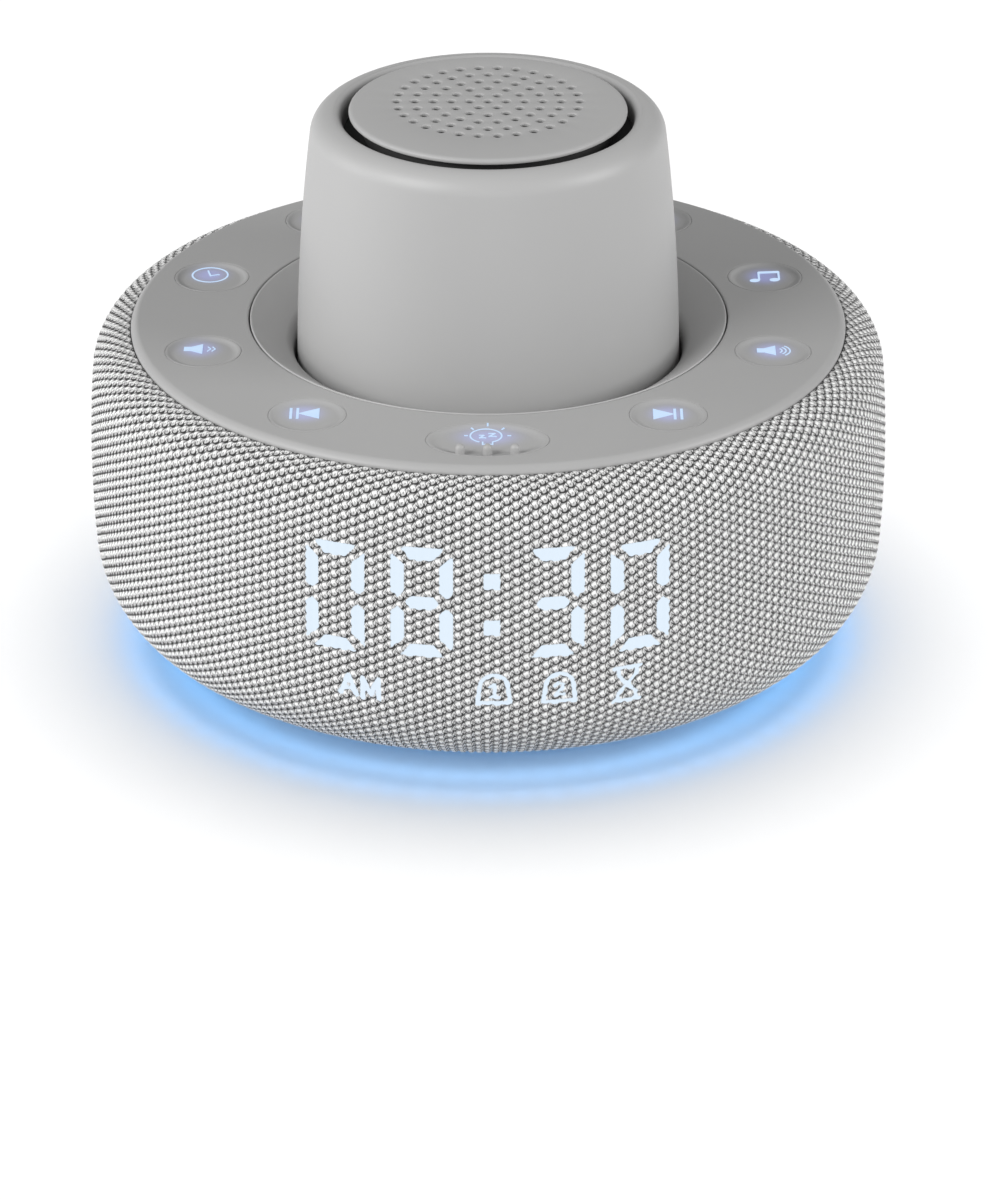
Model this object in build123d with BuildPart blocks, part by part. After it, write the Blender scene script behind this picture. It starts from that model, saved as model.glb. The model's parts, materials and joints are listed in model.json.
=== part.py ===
from build123d import *

import math
import os

# A round bedside sound machine: a fabric-covered base with a clock display, a ring of ten
# press keys and a flared dock well, and a small cordless speaker that lifts out of the well.
# Millimetres, +Z up, the origin on the table under the middle, the display towards -Y.

# ---- overall form ---------------------------------------------------------------------
# The speaker sets the dock, the dock and its keys set the panel, the panel sets the base.
speaker_radius = 38.3  # the speaker at its widest
dock_clearance = 0.6  # speaker to well wall, all round
flare_width = 8.4  # how far the dock's mouth opens beyond its wall
key_radius = 7.5
key_margin = 4.2  # rim of the dock to the keys
panel_margin = 4.9  # keys to the outer edge of the panel
side_swell = 8.6  # how far the fabric stands out beyond the panel
well_radius = speaker_radius + dock_clearance
mouth_radius = well_radius + flare_width  # rim of the dock well
key_ring_radius = mouth_radius + key_margin + key_radius
panel_radius = key_ring_radius + key_radius + panel_margin  # outer edge of the key panel
base_radius = panel_radius + side_swell  # the fabric at its widest
belly_height = 39.0  # height of the widest point
belly_bow = 240.0  # radius of the slow curve up the side
side_low = 24.0  # where the side turns into the bottom corner
side_high = 60.0  # where the side turns into the shoulder
corner_radius = 20.5  # bottom corner of the fabric
shoulder_radius = 9.0  # top corner of the fabric
panel_top = 69.5  # upper face of the key panel
speaker_top = 113.8  # upper face of the speaker's grille
dock_floor = 38.0  # upper face of the well's floor

# ---- clearances -----------------------------------------------------------------------
seat_gap = 0.15  # between round faces of one assembly
parting_gap = 0.3  # visible joint line between two mouldings
key_clearance = 0.15  # key to its opening, all round
dock_rest_gap = 0.3  # speaker foot to well floor

# ---- walls ----------------------------------------------------------------------------
fabric_thickness = 1.2
frame_wall = 2.2
panel_seat_width = 4.0  # the frame's ledge under the panel
panel_thickness = 2.2
well_wall = 2.0
cover_thickness = 2.4
shell_wall = 2.2
board_thickness = 1.6

# ---- keys -----------------------------------------------------------------------------
key_slope = 1.9  # width of the sloping rim of a dish
key_dish_depth = 0.8
key_depth = 3.4  # rim of a key to its underside
key_travel = 0.5
light_key_half_width = 11.8
bump_radius = 0.75
bump_height = 1.3
bump_spacing = 5.5
key_names = [
    "light",
    "next",
    "volume_up",
    "sound",
    "alarm_2",
    "timer",
    "alarm_1",
    "clock",
    "volume_down",
    "previous",
]
key_step = 360 / len(key_names)
key_angles = {name: -90 + key_step * place for place, name in enumerate(key_names)}
stem_size = 3.0
key_lug = 2.2
lug_drop = 0.4  # the lugs rest this far under the panel
switch_size = 6.0
switch_body = 2.4
switch_button = 0.8
post_size = 4.0
control_board_reach = 9.5  # either side of the ring of keys
key_lamp_inset = 5.2  # the lamp of a key stands this far inside the ring of keys

# ---- base, from the table up ----------------------------------------------------------
foot_height = 3.0
foot_radius = 7.0
foot_recess = 1.0
foot_inset = 10.6  # middle of a foot to the edge of the bottom cover
cover_bottom = foot_height - foot_recess
diffuser_width = 6.2  # the diffuser's edge beyond the bottom cover
diffuser_overlap = 1.8  # the diffuser's seat under the frame's flange
light_board_lap = 1.0  # the light board reaches this far over the bottom cover
light_board_margin = 1.2  # and this far beyond the diffuser
main_board_bottom = 10.0
main_board_size = 56.0
standoff_offset = 23.0
standoff_size = 5.0
post_radius = 3.5
post_stand = 6.1  # middle of a screw post to the well's wall
post_margin = 5.6  # and to the edge of the bottom cover
control_board_drop = 8.5  # panel top down to the upper face of the control board
screw_radius = 1.4
screw_head_radius = 2.6
screw_head = 1.8

# ---- display --------------------------------------------------------------------------
digit_height = 23.4
digit_width = 12.0
segment_width = 2.6
segment_gap = 0.5
digit_offsets = [-29.0, -12.4, 12.4, 29.0]  # along X, as seen from the front
icon_offsets = [-24.1, 1.2, 13.7, 26.8]
icon_height = 26.5
icon_size = 6.0
colon_dot = 3.2
colon_rise = 4.9
display_middle = 44.6  # height of the middle bars of the digits
display_bottom = 20.5
display_top = 58.5
display_half_angle = 30.0
display_depth = 17.0  # flat rear face of the reflector to the face of the film
film_gap = 1.8  # behind the fabric
film_thickness = 0.4
display_board_margin = 1.7
lamp_size = 1.6  # surface-mounted lamps are this square
lamp_height = 0.7

# ---- power inlet in the rear ----------------------------------------------------------
inlet_height = 21.0
inlet_width = 8.9
inlet_depth = 3.2
inlet_length = 7.3
bezel_width = 15.0
bezel_height = 9.0
bezel_recess = 0.5  # behind the fabric's widest line
bezel_depth = 3.0
shelf_length = 13.0

# ---- dock well ------------------------------------------------------------------------
flare_depth = 5.6
keyway_side_gap = 1.8  # control pad to the keyway's sides
keyway_back_gap = 1.6  # control pad to the keyway's flat rear face
pocket_width = 10.7
pocket_length = 10.5
pocket_depth = 1.2
pocket_margin = 1.0  # pocket to the keyway's rear face
pin_radius = 0.7
pin_pitch = 2.3

# ---- speaker --------------------------------------------------------------------------
speaker_bottom = dock_floor + dock_rest_gap
parting_height = 53.5  # joint line between the shell and the bottom cap
side_straight = 62.0  # the side is upright below this and drawn in above it
side_draw = 2.4  # how far the side is drawn in at the shoulder
crest_inset = 7.4  # crest to the speaker's widest radius
grille_proud = 0.8  # the grille's face stands this far above the crest
crest_slope = 2.2  # width and depth of the slope from the crest into the groove
groove_depth = 5.0
cap_corner = 7.0
foot_pad_margin = 2.3  # rubber foot to the start of the cap's corner
foot_pad_height = 1.2
grille_gap = 1.3  # open groove round the grille
grille_thickness = 1.4
grille_skirt = 4.0
hole_radius = 0.8
hole_pitch = 3.55
hole_rings = 5
driver_lap = 1.5  # the driver's frame under the deck
driver_flange = 2.0
driver_depth = 13.0
magnet_radius = 15.0
magnet_height = 8.0
cone_inset = 5.0  # edge of the cone to the driver's rim
cone_neck = 5.6
cone_slope = 0.4477612  # fall per millimetre towards the middle
cone_sheet = 0.6
basket_inset = 3.0  # the basket's legs stand this far inside the cone's edge
cell_gap = 3.5  # cell to the screw posts
cell_end_gap = 1.5  # cell to the board's supports
cell_top_gap = 0.7  # top of the cell under the parting line
pad_width = 15.4
pad_bottom = 43.0
pad_top = 63.0
pad_proud = 2.1  # the control pad stands this far out of the speaker's side
pad_thickness = 1.5
power_key_size = 5.0
power_key_travel = 0.4
power_key_drop = 5.0  # top of the control pad to the middle of the key
power_key_proud = 0.2
speaker_board_side_gap = 4.5  # speaker's board to the screw posts beside it
speaker_board_end_gap = 2.5  # and to those at its ends
board_stand_inset = 4.0  # board supports from the board's edges
board_stand_size = 3.0
rib_width = 15.4
post_inset = 10.6  # speaker's screw posts from its inner wall
post_width = 6.0
deck_width = 6.2  # the groove's floor, from its wall to the driver's bore
cap_floor = 3.0

# ---- what follows from those ----------------------------------------------------------
well_outer = well_radius + well_wall
post_circle = well_outer + post_stand
cover_radius = post_circle + post_margin
foot_circle = cover_radius - foot_inset
diffuser_radius = cover_radius + diffuser_width
light_board_inner = cover_radius - light_board_lap
light_board_outer = diffuser_radius + light_board_margin
film_radius = base_radius - fabric_thickness - film_gap
display_back = film_radius - display_depth  # in front of the middle
bezel_face = base_radius - bezel_recess
pad_face = speaker_radius + pad_proud
keyway_width = pad_width + 2 * keyway_side_gap
keyway_back = pad_face + keyway_back_gap  # behind the middle
crest_radius = speaker_radius - crest_inset
crest_height = speaker_top - grille_proud
deck_height = crest_height - groove_depth
groove_radius = crest_radius - crest_slope
grille_radius = groove_radius - grille_gap
deck_bore = groove_radius - deck_width
driver_radius = deck_bore + driver_lap
foot_pad_radius = speaker_radius - cap_corner - foot_pad_margin
inner_radius = speaker_radius - shell_wall
post_reach = inner_radius - post_inset
cell_width = 2 * (post_reach - post_width / 2 - cell_gap)
speaker_board_width = 2 * (post_reach - post_width / 2 - speaker_board_side_gap)
speaker_board_length = 2 * (post_reach - post_width / 2 - speaker_board_end_gap)
stand_across = speaker_board_width - 2 * board_stand_inset
stand_along = speaker_board_length - 2 * board_stand_inset
cell_height = stand_along - board_stand_size - 2 * cell_end_gap
cone_radius = driver_radius - cone_inset
cone_depth = (cone_radius - cone_neck) * cone_slope
basket_radius = cone_radius - basket_inset
power_key_height = pad_top - power_key_drop

os.makedirs("parts", exist_ok=True)


def save(part, name):
    """Label a finished piece and write it as its own STEP file."""
    part.label = name
    export_step(part, f"parts/{name}.step")


def polar_point(centre, radius, angle):
    """The point at an angle in degrees on a circle in the profile plane."""
    turn = math.radians(angle)
    return (centre[0] + radius * math.cos(turn), centre[1] + radius * math.sin(turn))


def ring(profile_points, mode=Mode.ADD):
    """Revolve a closed profile of (radius, height) points about the upright axis."""
    with BuildSketch(Plane.XZ) as profile:
        with BuildLine():
            Polyline(profile_points, close=True)
        make_face()
    revolve(profile.sketch, axis=Axis.Z, mode=mode)


# ---- the base's outline ---------------------------------------------------------------
# A small shoulder, the slow belly curve and a generous bottom corner, tangent to each other.
high_angle = math.degrees(math.asin((side_high - belly_height) / belly_bow))
low_angle = math.degrees(math.asin((side_low - belly_height) / belly_bow))
belly_centre = (base_radius - belly_bow, belly_height)
shoulder_centre = polar_point(belly_centre, belly_bow - shoulder_radius, high_angle)
corner_centre = polar_point(belly_centre, belly_bow - corner_radius, low_angle)
edge_radius = panel_radius + seat_gap
edge_angle = math.degrees(math.acos((edge_radius - shoulder_centre[0]) / shoulder_radius))
panel_underside = panel_top - panel_thickness


def turn(centre, radius, start, end, steps):
    """Evenly spaced points on an arc, as many steps as its size asks for."""
    angles = [start + (end - start) * step / steps for step in range(steps + 1)]
    return [polar_point(centre, radius, angle) for angle in angles]


def outline(inset, corner_steps, shoulder_steps):
    """The outline from under the base up to the panel, this far inside the fabric's face."""
    corner = turn(corner_centre, corner_radius - inset, -90, low_angle, corner_steps)
    belly = [polar_point(belly_centre, belly_bow - inset, 0)]
    shoulder = turn(
        shoulder_centre, shoulder_radius - inset, high_angle, edge_angle, shoulder_steps
    )
    return corner + belly + shoulder


# ---- fabric sleeve --------------------------------------------------------------------
# A knitted sleeve, stretched over the frame and tucked in at both edges. Its foam-backed
# inner face takes the plainer corners of the frame.
with BuildPart() as fabric_sleeve:
    face_points = outline(0, 5, 4)
    back_points = outline(fabric_thickness, 3, 1)
    ring(face_points + back_points[::-1])
    with BuildSketch(Plane.XZ):
        with Locations((0, inlet_height)):
            Rectangle(bezel_width + 2 * seat_gap, bezel_height + 2 * seat_gap)
    extrude(amount=-base_radius, mode=Mode.SUBTRACT)
save(fabric_sleeve.part, "fabric_sleeve")

# ---- outer frame ----------------------------------------------------------------------
# The moulded skeleton under the fabric: a wall with a flange at the top for the key panel,
# one at the bottom for the light board, a window for the display and a hole for the inlet.
frame_points = outline(fabric_thickness + seat_gap, 3, 1)
frame_bottom = frame_points[0][1]
light_board_seat = frame_bottom + frame_wall
frame_bore = frame_points[4][0] - frame_wall - 1.2
flange_bore = diffuser_radius - diffuser_overlap
panel_seat_bore = panel_radius - panel_seat_width
window_half = base_radius * math.sin(math.radians(display_half_angle))
with BuildPart() as outer_frame:
    ring(
        [
            (flange_bore, frame_bottom),
            *frame_points,
            (panel_radius - 0.5, panel_underside),
            (panel_seat_bore, panel_underside),
            (panel_seat_bore, panel_underside - frame_wall),
            (frame_bore, side_high),
            (frame_bore, side_low),
            (corner_centre[0] + 8, light_board_seat + 2.8),
            (corner_centre[0] + 1, light_board_seat),
            (flange_bore, light_board_seat),
        ]
    )
    with BuildSketch(Plane.XZ):
        with Locations((0, (display_top + display_bottom) / 2)):
            Rectangle(2 * window_half, display_top - display_bottom)
    extrude(amount=base_radius, mode=Mode.SUBTRACT)
    with BuildSketch(Plane.XZ):
        with Locations((0, inlet_height)):
            Rectangle(bezel_width + 2 * seat_gap, bezel_height + 2 * seat_gap)
    extrude(amount=-base_radius, mode=Mode.SUBTRACT)
save(outer_frame.part, "outer_frame")

# ---- key panel ------------------------------------------------------------------------
# A flat annular moulding with a sloping lip beside the fabric and an opening for each key.
# Square posts between the keys carry the control board.
control_board_top = panel_top - control_board_drop
rim_land = 0.3
panel_bore = mouth_radius + rim_land + parting_gap
with BuildPart() as top_panel:
    ring(
        [
            (panel_bore, panel_underside),
            (panel_radius - seat_gap, panel_underside),
            (panel_radius, panel_top - 1.2),
            (panel_radius - 1.6, panel_top),
            (panel_bore, panel_top),
        ]
    )
    with BuildSketch(Plane.XY.offset(panel_underside)):
        with PolarLocations(key_ring_radius, len(key_names), start_angle=-90):
            Circle(key_radius + key_clearance)
        with Locations((0, -key_ring_radius)):
            Ellipse(light_key_half_width + key_clearance, key_radius + key_clearance)
    extrude(amount=panel_thickness, mode=Mode.SUBTRACT)
    with BuildSketch(Plane.XY.offset(control_board_top)):
        with PolarLocations(key_ring_radius, 5, start_angle=-90 + key_step * 1.5):
            Rectangle(post_size, post_size)
    extrude(amount=panel_underside - control_board_top)
save(top_panel.part, "top_panel")

# ---- keys -----------------------------------------------------------------------------
# Each key is a dish that fills its opening, with a stem over its switch and two lugs that
# catch under the panel. The light key is wider and has three bumps to find it by touch.
switch_top = control_board_top + switch_body + switch_button
key_underside = panel_top - key_depth


def key_outline(name, plane, inset):
    """The round outline of a key, or the oval one of the light key, drawn on its plane."""
    with BuildSketch(plane) as outline_sketch:
        with Locations((0, -key_ring_radius)):
            if name == "light":
                Ellipse(light_key_half_width - inset, key_radius - inset)
            else:
                Circle(key_radius - inset)
    return outline_sketch.sketch


for name in key_names:
    place = Plane.XY.rotated((0, 0, key_angles[name] + 90))
    reach = light_key_half_width if name == "light" else key_radius
    with BuildPart() as key:
        extrude(key_outline(name, place.offset(key_underside), 0), amount=key_depth)
        rim = key_outline(name, place.offset(panel_top), 0)
        floor = key_outline(name, place.offset(panel_top - key_dish_depth), key_slope)
        loft([rim, floor], mode=Mode.SUBTRACT)
        stem_bottom = switch_top + key_travel + 0.1
        with BuildSketch(place.offset(stem_bottom)):
            with Locations((0, -key_ring_radius)):
                Rectangle(stem_size, stem_size)
        extrude(amount=key_underside - stem_bottom)
        with BuildSketch(place.offset(key_underside)):
            with Locations((-reach, -key_ring_radius), (reach, -key_ring_radius)):
                Rectangle(key_lug, key_lug)
        extrude(amount=key_depth - panel_thickness - lug_drop)
        if name == "light":
            with BuildSketch(place.offset(panel_top - key_dish_depth)):
                with Locations((0, key_slope - key_radius - key_ring_radius)):
                    with GridLocations(bump_spacing, 0, 3, 1):
                        RegularPolygon(bump_radius, 8)
            extrude(amount=bump_height)
    save(key.part, f"key_{name}")

# ---- dock well ------------------------------------------------------------------------
# A deep cup for the speaker. Its mouth flares, a flange carries the panel's inner edge, a
# flat-backed keyway runs down the rear for the speaker's control pad, and the floor has a
# pocket for the charging pins. Four hexagonal posts under it take the cover screws.
flange_radius = panel_bore + 3.6
flange_top = panel_underside
flange_bottom = flange_top - well_wall
well_underside = dock_floor - well_wall
cover_top = cover_bottom + cover_thickness
keyway_outer = keyway_back + well_wall
with BuildPart() as dock_well:
    ring(
        [
            (0, dock_floor),
            (well_radius, dock_floor),
            (well_radius, panel_top - flare_depth),
            (mouth_radius, panel_top),
            (mouth_radius + rim_land, panel_top),
            (mouth_radius + rim_land, flange_top),
            (flange_radius, flange_top),
            (flange_radius, flange_bottom),
            (mouth_radius, flange_bottom),
            (well_outer, panel_top - flare_depth - 2 * well_wall),
            (well_outer, well_underside),
            (0, well_underside),
        ]
    )
    with BuildSketch(Plane.XY.offset(well_underside)):
        with Locations((0, keyway_outer / 2)):
            Rectangle(keyway_width + 2 * well_wall, keyway_outer)
        Circle(well_radius, mode=Mode.SUBTRACT)
    extrude(amount=flange_bottom - well_underside)
    with BuildSketch(Plane.XY.offset(dock_floor)):
        with Locations((0, keyway_back / 2)):
            Rectangle(keyway_width, keyway_back)
    extrude(amount=panel_top - dock_floor, mode=Mode.SUBTRACT)
    with BuildSketch(Plane.XY.offset(dock_floor - pocket_depth)):
        with Locations((0, keyway_back - pocket_length / 2 - pocket_margin)):
            Rectangle(pocket_width, pocket_length)
    extrude(amount=pocket_depth, mode=Mode.SUBTRACT)
    with BuildSketch(Plane.XY.offset(well_underside)):
        with Locations((0, keyway_back - pocket_length / 2 - pocket_margin)):
            with GridLocations(pin_pitch, 0, 4, 1):
                RegularPolygon(pin_radius + seat_gap, 6)
    extrude(amount=well_wall, mode=Mode.SUBTRACT)
    with BuildSketch(Plane.XY.offset(cover_top)):
        with PolarLocations(post_circle, 4, start_angle=45):
            RegularPolygon(post_radius, 6)
            RegularPolygon(screw_radius + seat_gap, 6, mode=Mode.SUBTRACT)
    extrude(amount=well_underside - cover_top)
    with BuildSketch(Plane.XY.offset(well_underside)):
        with PolarLocations(post_circle - post_radius, 4, start_angle=45):
            Rectangle(2 * post_radius, 2 * post_radius)
    extrude(amount=well_wall)
save(dock_well.part, "dock_well")

# ---- speaker --------------------------------------------------------------------------
# The cap and the shell meet at the parting height. A rib down the rear carries the control
# pad and, on its foot, the charging contacts. Square posts in the cap take the screws.
cap_bottom = speaker_bottom + 0.5
cap_inner_floor = cap_bottom + cap_floor
rib_face = speaker_radius + pad_proud - pad_thickness
foot_top = speaker_bottom + foot_pad_height
lug_bottom = parting_height + 4.0
contact_line = keyway_back - pocket_length / 2 - pocket_margin
cell_thickness = parting_height - cap_inner_floor - cell_top_gap
board_bottom = cap_inner_floor + cell_thickness + 1.2
with BuildPart() as speaker_bottom_cap:
    corner = turn((speaker_radius - cap_corner, cap_bottom + cap_corner), cap_corner, -90, 0, 3)
    ring(
        [
            (0, foot_top),
            (foot_pad_radius + seat_gap, foot_top),
            (foot_pad_radius + seat_gap, cap_bottom),
            *corner,
            (speaker_radius, parting_height),
            (inner_radius, parting_height),
            (inner_radius, cap_bottom + cap_corner),
            (inner_radius - cap_corner + cap_floor, cap_inner_floor),
            (0, cap_inner_floor),
        ]
    )
    with BuildSketch(Plane.XY.offset(cap_bottom)):
        with Locations((0, rib_face / 2)):
            Rectangle(rib_width, rib_face)
        Circle(inner_radius - cap_corner + cap_floor, mode=Mode.SUBTRACT)
    extrude(amount=cap_floor)
    with BuildSketch(Plane.XY.offset(cap_bottom)):
        with Locations((0, rib_face / 2)):
            Rectangle(rib_width, rib_face)
        Circle(inner_radius, mode=Mode.SUBTRACT)
    extrude(amount=parting_height - cap_bottom)
    with BuildSketch(Plane.XY.offset(cap_inner_floor)):
        with PolarLocations(post_reach, 4):
            Rectangle(post_width, post_width)
        with GridLocations(stand_across, stand_along, 2, 2):
            Rectangle(board_stand_size, board_stand_size)
    extrude(amount=board_bottom - cap_inner_floor)
    with BuildSketch(Plane.XY.offset(board_bottom)):
        with PolarLocations(post_reach, 4):
            Rectangle(post_width, post_width)
    extrude(amount=lug_bottom - board_bottom)
    with BuildSketch(Plane.XY.offset(foot_top)):
        with PolarLocations(post_reach, 4):
            RegularPolygon(1.1 + seat_gap, 6)
    extrude(amount=lug_bottom - foot_top, mode=Mode.SUBTRACT)
    with BuildSketch(Plane.XY.offset(foot_top)):
        with PolarLocations(post_reach, 4):
            RegularPolygon(2.2 + seat_gap, 8)
    extrude(amount=1.4, mode=Mode.SUBTRACT)
    with BuildSketch(Plane.XY.offset(cap_bottom)):
        with Locations((0, contact_line)):
            with GridLocations(pin_pitch, 0, 4, 1):
                Rectangle(1.7, 1.7)
    extrude(amount=1.5, mode=Mode.SUBTRACT)
    with BuildSketch(Plane.XZ.offset(-rib_face)):
        with Locations((0, (pad_bottom + pad_top) / 2)):
            Rectangle(pad_width - 2, pad_top - pad_bottom)
    extrude(amount=1.0, mode=Mode.SUBTRACT)
save(speaker_bottom_cap.part, "speaker_bottom_cap")

shoulder_reach = speaker_radius - side_draw
shoulder_start = crest_height - (shoulder_reach - crest_radius)
lug_inner = post_reach - post_width / 2
lug_outer = inner_radius + 1
with BuildPart() as speaker_shell:
    shoulder = turn((crest_radius, shoulder_start), shoulder_reach - crest_radius, 0, 90, 3)
    ring(
        [
            (inner_radius, parting_height + parting_gap),
            (speaker_radius, parting_height + parting_gap),
            (speaker_radius, side_straight),
            *shoulder,
            (groove_radius, crest_height - crest_slope),
            (groove_radius, deck_height),
            (deck_bore, deck_height),
            (deck_bore, deck_height - shell_wall),
            (shoulder_reach - shell_wall, deck_height - shell_wall),
            (inner_radius, side_straight),
        ]
    )
    with BuildSketch(Plane.XY.offset(parting_height + parting_gap)):
        with Locations((0, rib_face / 2)):
            Rectangle(rib_width, rib_face)
        Circle(inner_radius, mode=Mode.SUBTRACT)
    extrude(amount=pad_top + 1.5 - parting_height - parting_gap)
    with BuildSketch(Plane.XY.offset(lug_bottom)):
        with PolarLocations((lug_inner + lug_outer) / 2, 4):
            Rectangle(lug_outer - lug_inner, post_width)
        with PolarLocations(post_reach, 4):
            RegularPolygon(1.1 + seat_gap, 6, mode=Mode.SUBTRACT)
    extrude(amount=4.0)
    with BuildSketch(Plane.XZ.offset(-rib_face)):
        with Locations((0, (pad_bottom + pad_top) / 2)):
            Rectangle(pad_width - 2, pad_top - pad_bottom)
    extrude(amount=1.0, mode=Mode.SUBTRACT)
save(speaker_shell.part, "speaker_shell")

# The rubber foot, the screws it hides and the four charging contacts in the rib's foot.
with BuildPart() as speaker_foot:
    with BuildSketch(Plane.XY.offset(speaker_bottom)):
        Circle(foot_pad_radius)
    extrude(amount=foot_pad_height)
save(speaker_foot.part, "speaker_foot")

with BuildPart() as speaker_screws:
    with BuildSketch(Plane.XY.offset(foot_top)):
        with PolarLocations(post_reach, 4):
            RegularPolygon(2.2, 8)
    extrude(amount=1.4)
    with BuildSketch(Plane.XY.offset(foot_top)):
        with PolarLocations(post_reach, 4):
            RegularPolygon(1.1, 6)
    extrude(amount=lug_bottom + 3.5 - foot_top)
save(speaker_screws.part, "speaker_screws")

with BuildPart() as charge_contacts:
    with BuildSketch(Plane.XY.offset(cap_bottom)):
        with Locations((0, contact_line)):
            with GridLocations(pin_pitch, 0, 4, 1):
                Rectangle(1.6, 1.6)
    extrude(amount=1.5)
save(charge_contacts.part, "charge_contacts")

# The grille: a perforated disc with a skirt that stands on a soft ring in the groove.
gasket_top = deck_height + 0.6
with BuildPart() as speaker_grille:
    ring(
        [
            (0, speaker_top),
            (grille_radius - 0.6, speaker_top),
            (grille_radius, speaker_top - 0.6),
            (grille_radius, gasket_top),
            (grille_radius - 1.2, gasket_top),
            (grille_radius - 1.2, speaker_top - grille_thickness),
            (0, speaker_top - grille_thickness),
        ]
    )
    with BuildSketch(Plane.XY.offset(speaker_top)):
        RegularPolygon(hole_radius, 6)
        for turn_number in range(1, hole_rings + 1):
            with PolarLocations(turn_number * hole_pitch, 6 * turn_number):
                RegularPolygon(hole_radius, 6)
    extrude(amount=-grille_thickness, mode=Mode.SUBTRACT)
save(speaker_grille.part, "speaker_grille")

with BuildPart() as groove_gasket:
    with BuildSketch(Plane.XY.offset(deck_height)):
        Circle(groove_radius - seat_gap)
        Circle(deck_bore + 2, mode=Mode.SUBTRACT)
    extrude(amount=gasket_top - deck_height)
save(groove_gasket.part, "groove_gasket")

# The driver hangs under the deck: basket, cone, surround, dust cap and magnet.
driver_top = deck_height - shell_wall
magnet_top = driver_top - driver_depth
with BuildPart() as driver_frame:
    with BuildSketch(Plane.XY.offset(driver_top - driver_flange)):
        RegularPolygon(driver_radius + 2, 24)
        RegularPolygon(driver_radius - 2, 24, mode=Mode.SUBTRACT)
    extrude(amount=driver_flange)
    with BuildSketch(Plane.XY.offset(magnet_top)):
        RegularPolygon(basket_radius, 24)
        RegularPolygon(5, 24, mode=Mode.SUBTRACT)
    extrude(amount=1.5)
    with BuildSketch(Plane.XY.offset(magnet_top)):
        with PolarLocations(basket_radius - 0.5, 6):
            Rectangle(1.5, 5)
    extrude(amount=driver_depth - driver_flange)
    with BuildSketch(Plane.XY.offset(driver_top - driver_flange - 1.5)):
        with PolarLocations((basket_radius + driver_radius - 0.2) / 2, 6):
            Rectangle(driver_radius - basket_radius + 2.3, 5)
    extrude(amount=1.5)
save(driver_frame.part, "driver_frame")

with BuildPart() as driver_magnet:
    with BuildSketch(Plane.XY.offset(magnet_top - magnet_height)):
        RegularPolygon(magnet_radius, 24)
    extrude(amount=magnet_height)
save(driver_magnet.part, "driver_magnet")

with BuildPart() as driver_surround:
    with BuildSketch(Plane.XY.offset(driver_top)):
        RegularPolygon(deck_bore - 0.8, 24)
        RegularPolygon(cone_radius - 1, 24, mode=Mode.SUBTRACT)
    extrude(amount=0.6)
    with BuildSketch(Plane.XY.offset(driver_top - driver_flange)):
        RegularPolygon(deck_bore - 1.5, 24)
        RegularPolygon(deck_bore - 2.5, 24, mode=Mode.SUBTRACT)
    extrude(amount=driver_flange)
save(driver_surround.part, "driver_surround")

cap_seat = driver_top - cone_depth + cone_sheet
with BuildPart() as driver_cone:
    ring(
        [
            (cone_radius - 1, driver_top),
            (cone_radius - 0.2, driver_top),
            (cone_neck, driver_top - cone_depth),
            (0, driver_top - cone_depth),
            (0, cap_seat),
            (cone_neck - 0.4, cap_seat),
        ]
    )
save(driver_cone.part, "driver_cone")

with BuildPart() as driver_dust_cap:
    ring([(0, cap_seat), (cone_neck - 0.5, cap_seat), (3, cap_seat + 2), (0, cap_seat + 2.4)])
save(driver_dust_cap.part, "driver_dust_cap")

# The cell lies on the cap's floor, under the speaker's own board.
with BuildPart() as speaker_battery:
    with BuildSketch(Plane.XY.offset(cap_inner_floor)):
        Rectangle(cell_width, cell_height)
    extrude(amount=cell_thickness)
save(speaker_battery.part, "speaker_battery")

with BuildPart() as speaker_board:
    with BuildSketch(Plane.XY.offset(board_bottom)):
        Rectangle(speaker_board_width, speaker_board_length)
    extrude(amount=board_thickness)
    with BuildSketch(Plane.XY.offset(board_bottom + board_thickness)):
        with Locations((-8, 6)):
            Rectangle(8, 8)
        with Locations((8, 4)):
            Rectangle(6, 6)
        with Locations((2, -12)):
            Rectangle(12, 5)
    extrude(amount=1.2)
save(speaker_board.part, "speaker_board")

# The rubber control pad on the rib, with an opening for the power key.
with BuildPart() as speaker_control_pad:
    with BuildSketch(Plane.XZ.offset(-pad_face)):
        with Locations((0, (pad_bottom + pad_top) / 2)):
            RectangleRounded(pad_width, pad_top - pad_bottom, 3)
        with Locations((0, power_key_height)):
            Rectangle(power_key_size + 0.3, power_key_size + 0.3, mode=Mode.SUBTRACT)
    extrude(amount=pad_thickness)
    with BuildSketch(Plane.XZ.offset(-rib_face)):
        with Locations((0, (pad_bottom + pad_top) / 2)):
            Rectangle(pad_width - 2.3, pad_top - pad_bottom - 0.3)
        with Locations((0, power_key_height)):
            Rectangle(power_key_size + 0.3, power_key_size + 0.3, mode=Mode.SUBTRACT)
    extrude(amount=0.9)
save(speaker_control_pad.part, "speaker_control_pad")

with BuildPart() as speaker_power_key:
    with BuildSketch(Plane.XZ.offset(-pad_face - power_key_proud)):
        with Locations((0, power_key_height)):
            Rectangle(power_key_size, power_key_size)
    extrude(amount=pad_thickness + power_key_proud + 0.4)
save(speaker_power_key.part, "speaker_power_key")

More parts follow.
